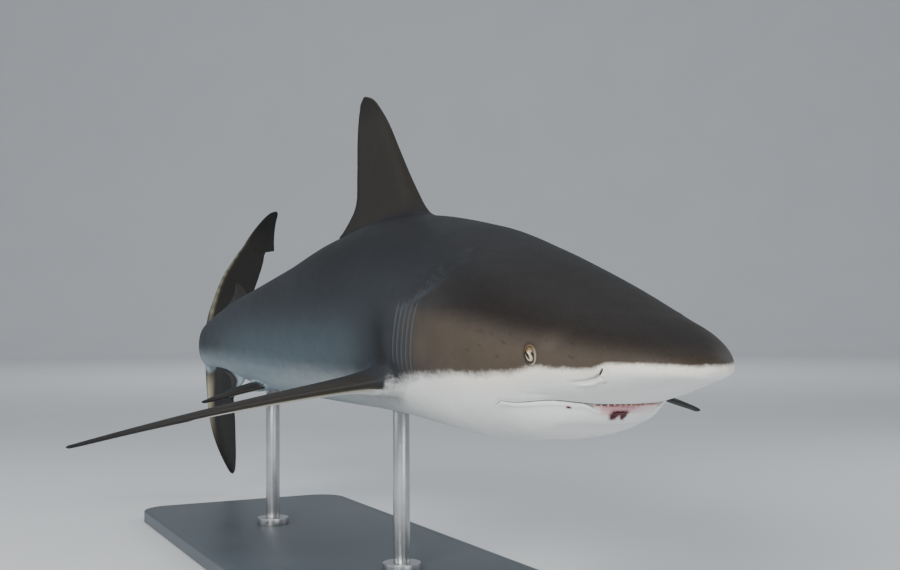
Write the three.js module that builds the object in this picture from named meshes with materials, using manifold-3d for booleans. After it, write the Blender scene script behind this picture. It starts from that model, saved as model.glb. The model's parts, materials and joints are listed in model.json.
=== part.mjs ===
// A life-size requiem shark, swimming with its tail swung to its left, on a plain display stand.
// Millimetres, +Z up, the head towards +X. The origin is on the floor, below the middle of the model.
// Body measures are in per cent of the total length, as field guides give them: "at" runs tailward
// from the tip of the snout along the bent backbone, "side" towards the shark's right, "up" from the
// level of the snout's tip.
import * as THREE from "three";
import { mergeVertices } from "three/addons/utils/BufferGeometryUtils.js";
import Module from "manifold-3d";

const wasm = await Module();
wasm.setup();

// ---------------------------------------------------------------- driving dimensions
const TOTAL_LENGTH = 2200;
const PERCENT = TOTAL_LENGTH / 100;
const SNOUT_TIP = { x: 996.3, y: 4.3, z: 360 };
const GAP = 0.35; // clear space between pieces that meet, in millimetres

// Heading of the backbone, in degrees seen from above: 180 points straight back from the head.
const HEADINGS = [
  [0, 180], [18, 180], [34, 184], [48, 187], [60, 185], [69, 185],
  [73, 179], [76.3, 162], [79.3, 148], [86, 138.5], [97, 131.5],
];

// Outline of the body: how high the back, how low the belly, how wide each side, and the level of
// the widest point. The lower jaw is added to it below.
const BODY = [
  { at: 0, back: 0, belly: 0, half: 0, level: 0 },
  { at: 0.35, back: 0.66, belly: -0.36, half: 1.18, level: 0.06 },
  { at: 1, back: 1.15, belly: -0.52, half: 2.03, level: 0.07 },
  { at: 2, back: 1.7, belly: -0.74, half: 2.84, level: 0.13 },
  { at: 3.4, back: 2.29, belly: -1.12, half: 3.59, level: 0.23 },
  { at: 5, back: 2.8, belly: -1.6, half: 4.2, level: 0.33 },
  { at: 6.4, back: 3.28, belly: -1.93, half: 4.67, level: 0.43 },
  { at: 8, back: 3.86, belly: -2.2, half: 5.16, level: 0.54 },
  { at: 10.5, back: 4.75, belly: -3.3, half: 5.85, level: 0.71 },
  { at: 13, back: 5.65, belly: -4.05, half: 6.22, level: 0.91 },
  { at: 17, back: 7.03, belly: -4.55, half: 6.43, level: 1.27 },
  { at: 22, back: 8.46, belly: -4.36, half: 6.45, level: 1.73 },
  { at: 32, back: 9.79, belly: -3.91, half: 6.15, level: 2.24 },
  { at: 40, back: 8.97, belly: -3.79, half: 5.77, level: 1.83 },
  { at: 48, back: 7.3, belly: -3.6, half: 5.03, level: 1.35 },
  { at: 55, back: 6.01, belly: -3.4, half: 4.16, level: 1.14 },
  { at: 63, back: 4.7, belly: -2.5, half: 2.99, level: 1.0 },
  { at: 68, back: 3.7, belly: -2.0, half: 2.2, level: 0.75 },
  { at: 72, back: 2.8, belly: -1.9, half: 1.55, level: 0.4 },
  { at: 75, back: 2.25, belly: -1.95, half: 1.15, level: 0.16 },
  { at: 78, back: 1.6, belly: -1.4, half: 0.85, level: 0.12 },
];
const SQUARENESS = 2.2; // 2 is an ellipse, more is squarer
const RING_STATIONS = [[0, 0.06], [9, 4.6], [24, 14], [45, 78]]; // [ring, station], closest at the jaw
const SIDES = 30;

// The mouth is an arch under the head, and the jaw behind it hangs below the snout.
const MOUTH = {
  front: 5.75, corner: 10.85, half: 4.95, level: -1.75, curve: 2.2, back: 13.4, open: 9.5,
  rearShare: 0.82, depth: 9, // the jaw's solid is this share as wide at its rear, and cut this deep
};
const JAW_DROP = [[5.75, 0.4], [7.5, 0.86], [10.5, 0.55], [13.2, 0.1], [15, 0]];
// How soon the jaw's wall reaches its full drop, and where across the mouth the drop fades out.
const JAW_WALL = { run: 1.9, steepness: 2.2, fadeFrom: 0.55, fadeOver: 0.5 };
const TEETH = { count: 11, spread: 0.5, height: 5, radius: 1.6, inset: 1.05, sides: 4 };

const EYE = {
  at: 7.85, up: 0.66, radius: 15, sunk: 11.5,
  breadth: 0.985, // share of the body's half width at the eye's height
  segments: 16, rings: 9,
};
const GILLS = {
  first: 19.67, step: 0.62, count: 5, low: -1.25, rise: 0.2, high: 3.7, bulge: -0.35, lean: 1.1,
  depth: 5, width: 1.8, taper: 0.08, proud: 0.3,
};

// Where the whole body is parted with thin cuts.
const PARTS = [
  ["head", 0, 16.4], ["gill_region", 16.4, 23.4], ["trunk_front", 23.4, 41],
  ["trunk_rear", 41, 58], ["tail_stalk_front", 58, 68], ["tail_stalk_rear", 68, 76],
];

// Fins, each an outline by height above its root: [height, leading edge, trailing edge], in per cent
// of the total length and tailward from the fin's front corner. "thick" is the greatest thickness at
// the root and near the tip.
const FIRST_DORSAL = {
  at: 30, thick: [2.3, 0.45],
  outline: [
    [-1.6, -0.9, 10.8], [-0.3, -0.6, 11], [0.1, -0.2, 11.3], [0.3, 0.15, 14.4], [0.75, 0.62, 13.5],
    [1.55, 1.28, 12.25], [2.25, 1.85, 11.4], [3.2, 2.6, 11], [5.5, 4.25, 10.93], [8, 6.05, 10.85],
    [9.2, 7.2, 10.62], [10, 8.1, 10.42], [10.45, 8.85, 10.2], [10.68, 9.35, 9.95],
  ],
};
const SECOND_DORSAL = {
  at: 63, thick: [0.9, 0.25],
  outline: [
    [-0.8, -0.2, 3.6], [0.1, 0, 3.7], [0.25, 0.2, 6.6], [0.6, 0.6, 5.2], [1.1, 1.25, 3.9],
    [1.6, 2.0, 3.45], [2.0, 2.7, 3.35], [2.15, 3.1, 3.3],
  ],
};
const ANAL = {
  at: 63.4, thick: [0.9, 0.25],
  outline: [
    [-0.8, -0.2, 3.6], [0.1, 0, 3.8], [0.25, 0.3, 6.4], [0.8, 0.95, 4.6], [1.5, 2.1, 4.0],
    [2.2, 3.1, 4.05], [2.8, 3.7, 4.35], [3.0, 4.05, 4.3],
  ],
};
const PECTORAL = {
  at: 22.2, side: 5, thick: [1.6, 0.22],
  outline: [
    [-1.6, -0.6, 6.6], [0.2, -0.3, 6.6], [1.2, 0.05, 6.9], [2.0, 0.4, 10.1], [2.8, 0.75, 10.8],
    [4, 1.3, 9.9], [6.5, 2.45, 9.0], [9.5, 3.95, 8.9], [12.5, 5.6, 9.5], [15.5, 7.5, 10.7],
    [17.7, 9.2, 11.6], [18.6, 10.4, 11.8],
  ],
};
const PELVIC = {
  at: 52.3, side: 2.2, thick: [0.9, 0.25],
  outline: [
    [-0.9, -0.3, 5.2], [0.2, 0, 5.3], [0.5, 0.2, 7.7], [1.2, 0.7, 7.3], [2.4, 1.7, 6.4],
    [3.6, 2.8, 5.9], [4.4, 3.7, 5.6], [4.7, 4.4, 5.3],
  ],
};
// How the shark holds its paired fins: the level of the root, the droop at root and tip, the tilt
// of the chord and the sweep from the fin's own outline, in degrees.
const HOLD = {
  pectoral_fin_right: { up: -1.0, droop: [6.7, 16], rake: -3.7, sweep: 5 },
  pectoral_fin_left: { up: -1.25, droop: [6.8, 17], rake: 3.2, sweep: -9 },
  pelvic_fin_right: { up: -2.75, droop: [16, 16], rake: -4, sweep: -8 },
  pelvic_fin_left: { up: -2.75, droop: [16, 16], rake: -4, sweep: -8 },
};
const CAUDAL = {
  at: 75, thick: [1.9, 0.3], lag: 0.06, fork: 0.4,
  outline: [
    [-14.1, 8.9, 9.35], [-13.5, 8.1, 9.6], [-12.4, 6.8, 9.55], [-10.4, 4.65, 9.25],
    [-8, 2.5, 8.85], [-6, 1.2, 8.4], [-4, 0.45, 8.1], [-2.4, 0.0, 7.8], [-1.2, -0.6, 7.6],
    [0.4, -1.0, 7.9], [1.6, -0.6, 8.8], [2.9, 1.2, 10.2], [4.5, 3.3, 12], [7, 5.9, 14.1],
    [9.5, 9.4, 15.9], [10.7, 11.2, 16.6], [10.95, 11.6, 18.5], [12, 12.9, 18.6],
    [14.1, 15.9, 19.2], [15.4, 18.2, 19.9], [15.8, 19.3, 20.1],
  ],
};
const EDGE = 1.2; // thickness of a fin's trailing edge, in millimetres

const STAND = {
  base: { length: 1150, width: 440, thick: 24, corner: 60 },
  rod: { radius: 13, at: [34, 57] },
  collar: { radius: 30, thick: 12 },
  segments: 24,
};

const COLOURS = {
  back: 0x4a4540, belly: 0xd9d9d4, fin: 0x423c37, eye: 0xb59a63, stand: 0x2b2d30, rod: 0x8d9094,
};

// ---------------------------------------------------------------- curves
// A smooth curve through [x, y] pairs that never overshoots them.
function smoothThrough(pairs) {
  const n = pairs.length;
  const step = [];
  const slope = [];
  for (let i = 0; i < n - 1; i++) {
    step.push(pairs[i + 1][0] - pairs[i][0]);
    slope.push((pairs[i + 1][1] - pairs[i][1]) / step[i]);
  }
  const tangent = pairs.map((_, i) => {
    if (i === 0) return slope[0];
    if (i === n - 1) return slope[n - 2];
    if (slope[i - 1] * slope[i] <= 0) return 0;
    const before = 2 * step[i] + step[i - 1];
    const after = step[i] + 2 * step[i - 1];
    return (before + after) / (before / slope[i - 1] + after / slope[i]);
  });
  return (x) => {
    if (x <= pairs[0][0]) return pairs[0][1];
    if (x >= pairs[n - 1][0]) return pairs[n - 1][1];
    let i = 0;
    while (x > pairs[i + 1][0]) i++;
    const t = (x - pairs[i][0]) / step[i];
    const rise = t * t * (3 - 2 * t);
    const ease = t * (1 - t);
    return pairs[i][1] * (1 - rise) + pairs[i + 1][1] * rise
      + step[i] * ease * (tangent[i] * (1 - t) - tangent[i + 1] * t);
  };
}

const smoothStep = (t) => {
  const c = Math.min(1, Math.max(0, t));
  return c * c * (3 - 2 * c);
};
const mix = (a, b, t) => a + (b - a) * t;
const signedPower = (x, p) => Math.sign(x) * Math.abs(x) ** p;

const headingAt = smoothThrough(HEADINGS);
const measure = (name) => smoothThrough(BODY.map((row) => [row.at, row[name]]));
const backAt = measure("back");
const bellyAt = measure("belly");
const halfAt = measure("half");
const levelAt = measure("level");
const jawDropAt = smoothThrough(JAW_DROP);

// ---------------------------------------------------------------- the bent backbone
const BACKBONE_STEP = 0.25;
const backbone = [new THREE.Vector2(0, 0)];
for (let at = 0; at < 100; at += BACKBONE_STEP) {
  const heading = THREE.MathUtils.degToRad(headingAt(at + BACKBONE_STEP / 2));
  const last = backbone[backbone.length - 1];
  backbone.push(new THREE.Vector2(
    last.x + BACKBONE_STEP * Math.cos(heading),
    last.y + BACKBONE_STEP * Math.sin(heading),
  ));
}

// The point of the backbone at a station, with its tailward and rightward directions.
function spineAt(at) {
  const k = Math.min(Math.max(at, 0) / BACKBONE_STEP, backbone.length - 2);
  const i = Math.floor(k);
  const point = backbone[i].clone().lerp(backbone[i + 1], k - i);
  const heading = THREE.MathUtils.degToRad(headingAt(at));
  const tail = new THREE.Vector3(Math.cos(heading), Math.sin(heading), 0);
  const right = new THREE.Vector3(-tail.y, tail.x, 0);
  const origin = new THREE.Vector3(
    SNOUT_TIP.x + (point.x + Math.min(at, 0) * tail.x) * PERCENT,
    SNOUT_TIP.y + (point.y + Math.min(at, 0) * tail.y) * PERCENT,
    SNOUT_TIP.z,
  );
  return { origin, tail, right };
}

// Body measures, in per cent of the total length, as a point in millimetres.
function place(at, side, up) {
  const { origin, right } = spineAt(at);
  return origin.addScaledVector(right, side * PERCENT).add(new THREE.Vector3(0, 0, up * PERCENT));
}

// ---------------------------------------------------------------- solids
// A closed mesh from rings of points, capped at both ends.
function loft(rings) {
  const sides = rings[0].length;
  const points = rings.flat();
  const faces = [];
  for (let r = 0; r + 1 < rings.length; r++) {
    for (let i = 0; i < sides; i++) {
      const a = r * sides + i;
      const b = r * sides + ((i + 1) % sides);
      faces.push([a, b, b + sides], [a, b + sides, a + sides]);
    }
  }
  for (const [ring, turned] of [[0, true], [rings.length - 1, false]]) {
    const middle = points.length;
    points.push(rings[ring].reduce((sum, p) => sum.add(p), new THREE.Vector3()).divideScalar(sides));
    for (let i = 0; i < sides; i++) {
      const a = ring * sides + i;
      const b = ring * sides + ((i + 1) % sides);
      faces.push(turned ? [b, a, middle] : [a, b, middle]);
    }
  }
  return solid(points, faces);
}

function solid(points, faces) {
  const build = (order) => new wasm.Manifold(new wasm.Mesh({
    numProp: 3,
    vertProperties: new Float32Array(points.flatMap((p) => [p.x, p.y, p.z])),
    triVerts: new Uint32Array(faces.flatMap(([a, b, c]) => (order ? [a, b, c] : [a, c, b]))),
  }));
  const made = build(true);
  return made.volume() > 0 ? made : build(false);
}

function solidOf(geometry) {
  const bare = geometry.index ? geometry.toNonIndexed() : geometry.clone();
  bare.deleteAttribute("normal");
  bare.deleteAttribute("uv");
  const merged = mergeVertices(bare, 1e-3);
  const { position } = merged.attributes;
  const points = Array.from(
    { length: position.count },
    (_, i) => new THREE.Vector3().fromBufferAttribute(position, i),
  );
  const faces = [];
  for (let i = 0; i < merged.index.count; i += 3) {
    faces.push([merged.index.getX(i), merged.index.getX(i + 1), merged.index.getX(i + 2)]);
  }
  return solid(points, faces);
}

function meshOf(made, name, colour, roughness = 0.55, metalness = 0) {
  const { vertProperties, triVerts } = made.getMesh();
  const geometry = new THREE.BufferGeometry();
  geometry.setAttribute("position", new THREE.BufferAttribute(vertProperties.slice(), 3));
  geometry.setIndex(new THREE.BufferAttribute(triVerts.slice(), 1));
  geometry.computeVertexNormals();
  const finish = new THREE.MeshStandardMaterial({ color: colour, roughness, metalness });
  const mesh = new THREE.Mesh(geometry, finish);
  mesh.name = name;
  return mesh;
}

// The main one of a solid's separate pieces.
function largest(made) {
  return made.decompose().reduce((a, b) => (b.volume() > a.volume() ? b : a));
}

// The half of a solid behind the cross-section at a station, or in front of it.
function behind(made, at, shift = GAP / 2) {
  const { origin, tail } = spineAt(at);
  return made.trimByPlane(tail.toArray(), tail.dot(origin) + shift);
}
function ahead(made, at, shift = GAP / 2) {
  const { origin, tail } = spineAt(at);
  return made.trimByPlane(tail.clone().negate().toArray(), -tail.dot(origin) + shift);
}

// ---------------------------------------------------------------- body
// How far the mouth's arch has come back at a distance from the middle.
const mouthLine = (side) => MOUTH.front
  + (MOUTH.corner - MOUTH.front) * Math.abs(side / MOUTH.half) ** MOUTH.curve;

function jawDrop(at, side) {
  const behindLip = Math.min(1, Math.max(0, (at - mouthLine(side)) / JAW_WALL.run));
  const inside = 1 - (1 - behindLip) ** JAW_WALL.steepness;
  const across = Math.abs(side) / MOUTH.half;
  const fade = 1 - smoothStep((across - JAW_WALL.fadeFrom) / JAW_WALL.fadeOver);
  return jawDropAt(at) * inside * fade;
}

// The skin at a station, turned by an angle from the middle of the back, and pushed out by "grow".
function skin(at, angle, grow = 0) {
  const level = levelAt(at);
  const s = Math.sin(angle);
  const c = Math.cos(angle);
  const side = (halfAt(at) + grow) * signedPower(s, 2 / SQUARENESS);
  const reach = c >= 0 ? backAt(at) - level : level - bellyAt(at);
  const up = level + (reach + grow) * signedPower(c, 2 / SQUARENESS);
  return [at, side, c < 0 ? up - jawDrop(at, side) : up];
}

function bodySolid(grow = 0) {
  const stationOf = smoothThrough(RING_STATIONS);
  const last = RING_STATIONS[RING_STATIONS.length - 1][0];
  const rings = [];
  for (let r = 0; r <= last; r++) {
    const ring = [];
    for (let i = 0; i < SIDES; i++) {
      ring.push(place(...skin(stationOf(r), (i / SIDES) * 2 * Math.PI, grow / PERCENT)));
    }
    rings.push(ring);
  }
  return loft(rings);
}

// ---------------------------------------------------------------- mouth, eyes and gills
// The space under the mouth's arch, down to below the chin. "grow" widens it.
function jawSpace(grow) {
  const shape = new THREE.Shape();
  const steps = 10;
  for (let i = -steps; i <= steps; i++) {
    const side = (i / steps) * MOUTH.half;
    const bulge = grow / PERCENT;
    const x = SNOUT_TIP.x - (mouthLine(side) - bulge) * PERCENT;
    const y = SNOUT_TIP.y - side * (1 + bulge / MOUTH.half) * PERCENT;
    if (i === -steps) shape.moveTo(x, y);
    else shape.lineTo(x, y);
  }
  const rear = SNOUT_TIP.x - MOUTH.back * PERCENT - grow;
  const rearHalf = MOUTH.half * MOUTH.rearShare * PERCENT + grow;
  shape.lineTo(rear, SNOUT_TIP.y - rearHalf);
  shape.lineTo(rear, SNOUT_TIP.y + rearHalf);
  const bottom = SNOUT_TIP.z - MOUTH.depth * PERCENT;
  const top = SNOUT_TIP.z + MOUTH.level * PERCENT + grow;
  const geometry = new THREE.ExtrudeGeometry(shape, { depth: top - bottom, bevelEnabled: false });
  geometry.translate(0, 0, bottom);
  return solidOf(geometry);
}

// How far the lower lip has dropped below the upper one, in millimetres.
function mouthOpening(at) {
  return (MOUTH.open * (MOUTH.corner - at)) / (MOUTH.corner - MOUTH.front);
}

// The jaw's own solid, cut down to its lip, with the teeth on it.
function jawSolid(headSolid) {
  const corner = place(MOUTH.corner, 0, MOUTH.level);
  const fall = Math.atan(MOUTH.open / ((MOUTH.corner - MOUTH.front) * PERCENT));
  const down = new THREE.Vector3(-Math.sin(fall), 0, -Math.cos(fall));
  const jaw = headSolid.intersect(jawSpace(0)).trimByPlane(down.toArray(), down.dot(corner));
  const palate = bodySolid(GAP).subtract(jawSpace(0));
  return largest(teethSolid().reduce((made, tooth) => made.add(tooth.subtract(palate)), jaw));
}

// A row of small teeth that stand on the front of the lower lip, each with its lower half buried.
function teethSolid() {
  const row = [];
  for (let i = 0; i < TEETH.count; i++) {
    const side = MOUTH.half * TEETH.spread * ((2 * i) / (TEETH.count - 1) - 1);
    const tooth = new THREE.ConeGeometry(TEETH.radius, TEETH.height * 2, TEETH.sides);
    tooth.rotateX(Math.PI / 2);
    const at = mouthLine(side) + TEETH.inset;
    const foot = place(at, side, MOUTH.level);
    tooth.translate(foot.x, foot.y, foot.z - mouthOpening(at));
    row.push(solidOf(tooth));
  }
  return row;
}

function eyeCentre(sign) {
  const surface = halfAt(EYE.at) * EYE.breadth;
  const centre = place(EYE.at, sign * surface, EYE.up);
  return centre.addScaledVector(spineAt(EYE.at).right, -sign * EYE.sunk);
}

function ballSolid(centre, radius) {
  const ball = new THREE.SphereGeometry(radius, EYE.segments, EYE.rings);
  ball.translate(centre.x, centre.y, centre.z);
  return solidOf(ball);
}

// A thin blade that cuts one gill slit into the side of the body.
function gillBlade(sign, index) {
  const rings = [];
  const steps = 4;
  for (let i = 0; i <= steps; i++) {
    const t = i / steps;
    const up = mix(GILLS.low + GILLS.rise * index, GILLS.high, t);
    const bow = GILLS.bulge * Math.sin(Math.PI * t) - GILLS.lean * t * t;
    const at = GILLS.first + GILLS.step * index + bow;
    const level = levelAt(at);
    const reach = up > level ? backAt(at) - level : level - bellyAt(at);
    const share = Math.abs((up - level) / reach);
    const side = halfAt(at) * (1 - share ** SQUARENESS) ** (1 / SQUARENESS);
    const ends = Math.sin(Math.PI * mix(GILLS.taper, 1 - GILLS.taper, t));
    const half = (GILLS.width * ends) / 2 / PERCENT;
    const deep = (GILLS.depth * ends) / PERCENT;
    rings.push([
      place(at - half, sign * (side + GILLS.proud), up),
      place(at + half, sign * (side + GILLS.proud), up),
      place(at + half, sign * (side - deep), up),
      place(at - half, sign * (side - deep), up),
    ]);
  }
  return loft(rings);
}

// ---------------------------------------------------------------- fins
// Half of a fin's thickness along its chord: round in front, fine behind.
const SECTION = { crest: 0.28, taper: 1.4, spacing: 1.35, stoutest: 0.28 };
const fullness = (u) => (u < SECTION.crest
  ? Math.sin((Math.PI / 2) * Math.sqrt(u / SECTION.crest))
  : 1 - ((u - SECTION.crest) / (1 - SECTION.crest)) ** SECTION.taper);

// A fin's solid. "put" turns tailward, height and thickness measures into a point.
function finSolid({ outline, thick }, put, chordSteps = 5) {
  const lead = smoothThrough(outline.map(([h, front]) => [h, front]));
  const trail = smoothThrough(outline.map(([h, , rear]) => [h, rear]));
  const low = outline[0][0];
  const high = outline[outline.length - 1][0];
  const peak = Math.max(Math.abs(low), Math.abs(high));
  const rings = outline.map(([h]) => {
    const front = lead(h);
    const chord = trail(h) - front;
    const fade = Math.min(1, Math.abs(h) / peak);
    const depth = mix(thick[0], thick[1], Math.sqrt(fade)) / 2;
    const half = Math.min(depth, chord * SECTION.stoutest);
    const edge = EDGE / 2 / PERCENT;
    const right = [];
    const left = [];
    for (let i = 0; i <= chordSteps; i++) {
      const u = (i / chordSteps) ** SECTION.spacing;
      const off = i === 0 ? 0 : Math.max(edge, half * fullness(u));
      right.push(put(front + chord * u, h, off));
      if (i > 0) left.push(put(front + chord * u, h, -off));
    }
    return [...right, ...left.reverse()];
  });
  return loft(rings);
}

// A fin on the middle of the back or belly. "way" is 1 upwards and -1 downwards.
function medianFin(fin, way) {
  const root = (at) => (way > 0 ? backAt(at) : bellyAt(at));
  const first = root(fin.at);
  const last = root(fin.at + fin.outline[1][2]);
  const run = fin.outline[1][2];
  return finSolid(fin, (tailward, height, off) => {
    const base = mix(first, last, Math.max(0, tailward) / run);
    return place(fin.at + tailward, off, base + way * height);
  });
}

// A fin of a pair. It droops from the side, more towards its tip, so on the way there its mean
// droop is half of what has been gained.
function pairedFin(fin, hold, sign) {
  const { right, tail } = spineAt(fin.at);
  const root = place(fin.at, sign * fin.side, hold.up);
  const reach = fin.outline[fin.outline.length - 1][0];
  const sweep = THREE.MathUtils.degToRad(hold.sweep);
  const rake = THREE.MathUtils.degToRad(hold.rake);
  const chord = tail.clone().multiplyScalar(Math.cos(rake));
  chord.z += Math.sin(rake);
  const [nearDroop, farDroop] = hold.droop.map(THREE.MathUtils.degToRad);
  return finSolid(fin, (tailward, height, off) => {
    const share = Math.max(0, height) / reach;
    const droop = nearDroop + (farDroop - nearDroop) * share * 0.5;
    const turn = nearDroop + (farDroop - nearDroop) * share;
    const outward = right.clone().multiplyScalar(sign * Math.cos(droop));
    outward.z -= Math.sin(droop);
    const normal = right.clone().multiplyScalar(sign * Math.sin(turn));
    normal.z += Math.cos(turn);
    return root.clone()
      .addScaledVector(outward, height * Math.cos(sweep) * PERCENT)
      .addScaledVector(chord, (tailward + height * Math.sin(sweep)) * PERCENT)
      .addScaledVector(normal, off * PERCENT);
  });
}

// The tail fin: its membrane trails towards the shark's left as the tail swings to the right.
function caudalSolid() {
  const lead = smoothThrough(CAUDAL.outline.map(([h, front]) => [h, front]));
  return finSolid(CAUDAL, (tailward, height, off) => {
    const lag = CAUDAL.lag * Math.max(0, tailward - Math.max(0, lead(height)));
    return place(CAUDAL.at + tailward, off - lag, height);
  });
}

// ---------------------------------------------------------------- stand
function baseSolid() {
  const { length, width, thick, corner } = STAND.base;
  const [front, rear] = STAND.rod.at.map((at) => spineAt(at).origin);
  const shape = new THREE.Shape();
  const alongX = length / 2 - corner;
  const alongY = width / 2 - corner;
  for (const [sx, sy, start] of [[1, 1, 0], [-1, 1, 90], [-1, -1, 180], [1, -1, 270]]) {
    const from = THREE.MathUtils.degToRad(start);
    shape.absarc(sx * alongX, sy * alongY, corner, from, from + Math.PI / 2, false);
  }
  const geometry = new THREE.ExtrudeGeometry(shape, {
    depth: thick, bevelEnabled: false, curveSegments: 5,
  });
  geometry.translate((front.x + rear.x) / 2, (front.y + rear.y) / 2, 0);
  return solidOf(geometry);
}

function uprightSolid(at, radius, low, high) {
  const { origin } = spineAt(at);
  const post = new THREE.CylinderGeometry(radius, radius, high - low, STAND.segments);
  post.rotateX(Math.PI / 2);
  post.translate(origin.x, origin.y, (low + high) / 2);
  return solidOf(post);
}

// ---------------------------------------------------------------- assembly
const shark = new THREE.Group();
const whole = bodySolid();
const swollen = bodySolid(GAP);

const eyes = [1, -1].map((sign) => ({ sign, centre: eyeCentre(sign) }));
let flesh = whole;
for (const { centre } of eyes) flesh = flesh.subtract(ballSolid(centre, EYE.radius + GAP));
for (const sign of [1, -1]) {
  for (let i = 0; i < GILLS.count; i++) flesh = flesh.subtract(gillBlade(sign, i));
}

for (const [name, from, to] of PARTS) {
  let piece = ahead(flesh, to);
  if (from > 0) piece = behind(piece, from);
  if (name === "head") {
    shark.add(meshOf(piece.subtract(jawSpace(GAP)), name, COLOURS.back));
    shark.add(meshOf(jawSolid(piece), "lower_jaw", COLOURS.belly));
  } else {
    shark.add(meshOf(piece, name, COLOURS.back));
  }
}

for (const { sign, centre } of eyes) {
  const side = sign > 0 ? "right" : "left";
  shark.add(meshOf(ballSolid(centre, EYE.radius), `eye_${side}`, COLOURS.eye, 0.1));
  for (const [fin, kind] of [[PECTORAL, "pectoral"], [PELVIC, "pelvic"]]) {
    const name = `${kind}_fin_${side}`;
    shark.add(meshOf(largest(pairedFin(fin, HOLD[name], sign).subtract(swollen)), name, COLOURS.fin));
  }
}

for (const [name, fin, way] of [
  ["first_dorsal_fin", FIRST_DORSAL, 1], ["second_dorsal_fin", SECOND_DORSAL, 1],
  ["anal_fin", ANAL, -1],
]) {
  shark.add(meshOf(largest(medianFin(fin, way).subtract(swollen)), name, COLOURS.fin));
}

const stalk = ahead(swollen, PARTS[PARTS.length - 1][2], -GAP / 2);
const tailFin = caudalSolid().add(behind(whole, PARTS[PARTS.length - 1][2])).subtract(stalk);
const forkLevel = SNOUT_TIP.z + CAUDAL.fork * PERCENT;
const upperLobe = tailFin.trimByPlane([0, 0, 1], forkLevel + GAP / 2);
const lowerLobe = tailFin.trimByPlane([0, 0, -1], -forkLevel + GAP / 2);
shark.add(meshOf(largest(upperLobe), "caudal_fin_upper_lobe", COLOURS.fin));
shark.add(meshOf(largest(lowerLobe), "caudal_fin_lower_lobe", COLOURS.fin));

shark.add(meshOf(baseSolid(), "stand_base", COLOURS.stand, 0.5));
STAND.rod.at.forEach((at, i) => {
  const name = ["front", "rear"][i];
  const { thick } = STAND.base;
  const collarTop = thick + GAP + STAND.collar.thick;
  const belly = SNOUT_TIP.z + levelAt(at) * PERCENT;
  const bore = uprightSolid(at, STAND.rod.radius + GAP, thick, collarTop + 1);
  const collar = uprightSolid(at, STAND.collar.radius, thick + GAP, collarTop).subtract(bore);
  const rod = uprightSolid(at, STAND.rod.radius, thick + GAP, belly).subtract(swollen);
  shark.add(meshOf(collar, `stand_collar_${name}`, COLOURS.rod, 0.3, 1));
  shark.add(meshOf(largest(rod), `stand_rod_${name}`, COLOURS.rod, 0.3, 1));
});

export default shark;
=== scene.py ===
"""A life-size requiem shark on a plain display stand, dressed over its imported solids.

Metres, +Z up, the head towards +X. Body measures are in per cent of the total length: "at" runs
tailward from the tip of the snout along the bent backbone, "side" towards the shark's right and
"up" from the level of the snout's tip.
"""

import json
import logging
import math
from dataclasses import dataclass
from enum import Enum
from typing import Any, Callable, Sequence

import bpy
import numpy as np
from mathutils import Matrix, Vector
from mathutils.kdtree import KDTree

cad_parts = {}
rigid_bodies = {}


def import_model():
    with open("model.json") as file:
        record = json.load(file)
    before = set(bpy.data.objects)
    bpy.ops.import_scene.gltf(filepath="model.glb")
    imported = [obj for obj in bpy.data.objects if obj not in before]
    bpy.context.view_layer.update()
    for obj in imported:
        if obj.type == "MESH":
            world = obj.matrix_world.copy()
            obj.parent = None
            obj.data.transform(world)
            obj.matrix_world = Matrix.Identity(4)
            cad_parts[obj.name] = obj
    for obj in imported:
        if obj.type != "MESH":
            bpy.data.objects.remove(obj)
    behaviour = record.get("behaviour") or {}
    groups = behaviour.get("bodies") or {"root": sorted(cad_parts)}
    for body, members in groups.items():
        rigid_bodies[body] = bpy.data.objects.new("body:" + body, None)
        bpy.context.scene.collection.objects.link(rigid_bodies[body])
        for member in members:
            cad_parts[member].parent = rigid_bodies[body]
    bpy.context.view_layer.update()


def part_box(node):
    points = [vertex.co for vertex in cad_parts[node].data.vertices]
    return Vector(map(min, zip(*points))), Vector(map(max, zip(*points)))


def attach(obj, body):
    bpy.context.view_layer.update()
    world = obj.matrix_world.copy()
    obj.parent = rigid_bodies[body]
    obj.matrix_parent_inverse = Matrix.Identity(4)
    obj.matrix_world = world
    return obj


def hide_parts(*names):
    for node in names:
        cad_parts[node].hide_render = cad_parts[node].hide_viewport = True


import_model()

Array = np.ndarray
Piece = bpy.types.Object

LOG = logging.getLogger("shark")

TOTAL_LENGTH = 2.2
PERCENT = TOTAL_LENGTH / 100
MM = 0.001
MM_IN_PERCENT = 22
SNOUT_TIP = np.array([0.9963, 0.0043, 0.360])
UP = np.array([0.0, 0.0, 1.0])

HEADINGS = (
    (0, 180), (18, 180), (34, 184), (48, 187), (60, 185), (69, 185),
    (73, 179), (76.3, 162), (79.3, 148), (86, 138.5), (97, 131.5),
)
# Outline of the body: at, back, belly, half width, level of the widest point.
BODY = (
    (0, 0, 0, 0, 0), (0.35, 0.66, -0.36, 1.18, 0.06), (1, 1.15, -0.52, 2.03, 0.07),
    (2, 1.7, -0.74, 2.84, 0.13), (3.4, 2.29, -1.12, 3.59, 0.23), (5, 2.8, -1.6, 4.2, 0.33),
    (6.4, 3.28, -1.93, 4.67, 0.43), (8, 3.86, -2.2, 5.16, 0.54), (10.5, 4.75, -3.3, 5.85, 0.71),
    (13, 5.65, -4.05, 6.22, 0.91), (17, 7.03, -4.55, 6.43, 1.27), (22, 8.46, -4.36, 6.45, 1.73),
    (32, 9.79, -3.91, 6.15, 2.24), (40, 8.97, -3.79, 5.77, 1.83), (48, 7.3, -3.6, 5.03, 1.35),
    (55, 6.01, -3.4, 4.16, 1.14), (63, 4.7, -2.5, 2.99, 1.0), (68, 3.7, -2.0, 2.2, 0.75),
    (72, 2.8, -1.9, 1.55, 0.4), (75, 2.25, -1.95, 1.15, 0.16), (78, 1.6, -1.4, 0.85, 0.12),
)
SQUARENESS = 2.2
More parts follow.
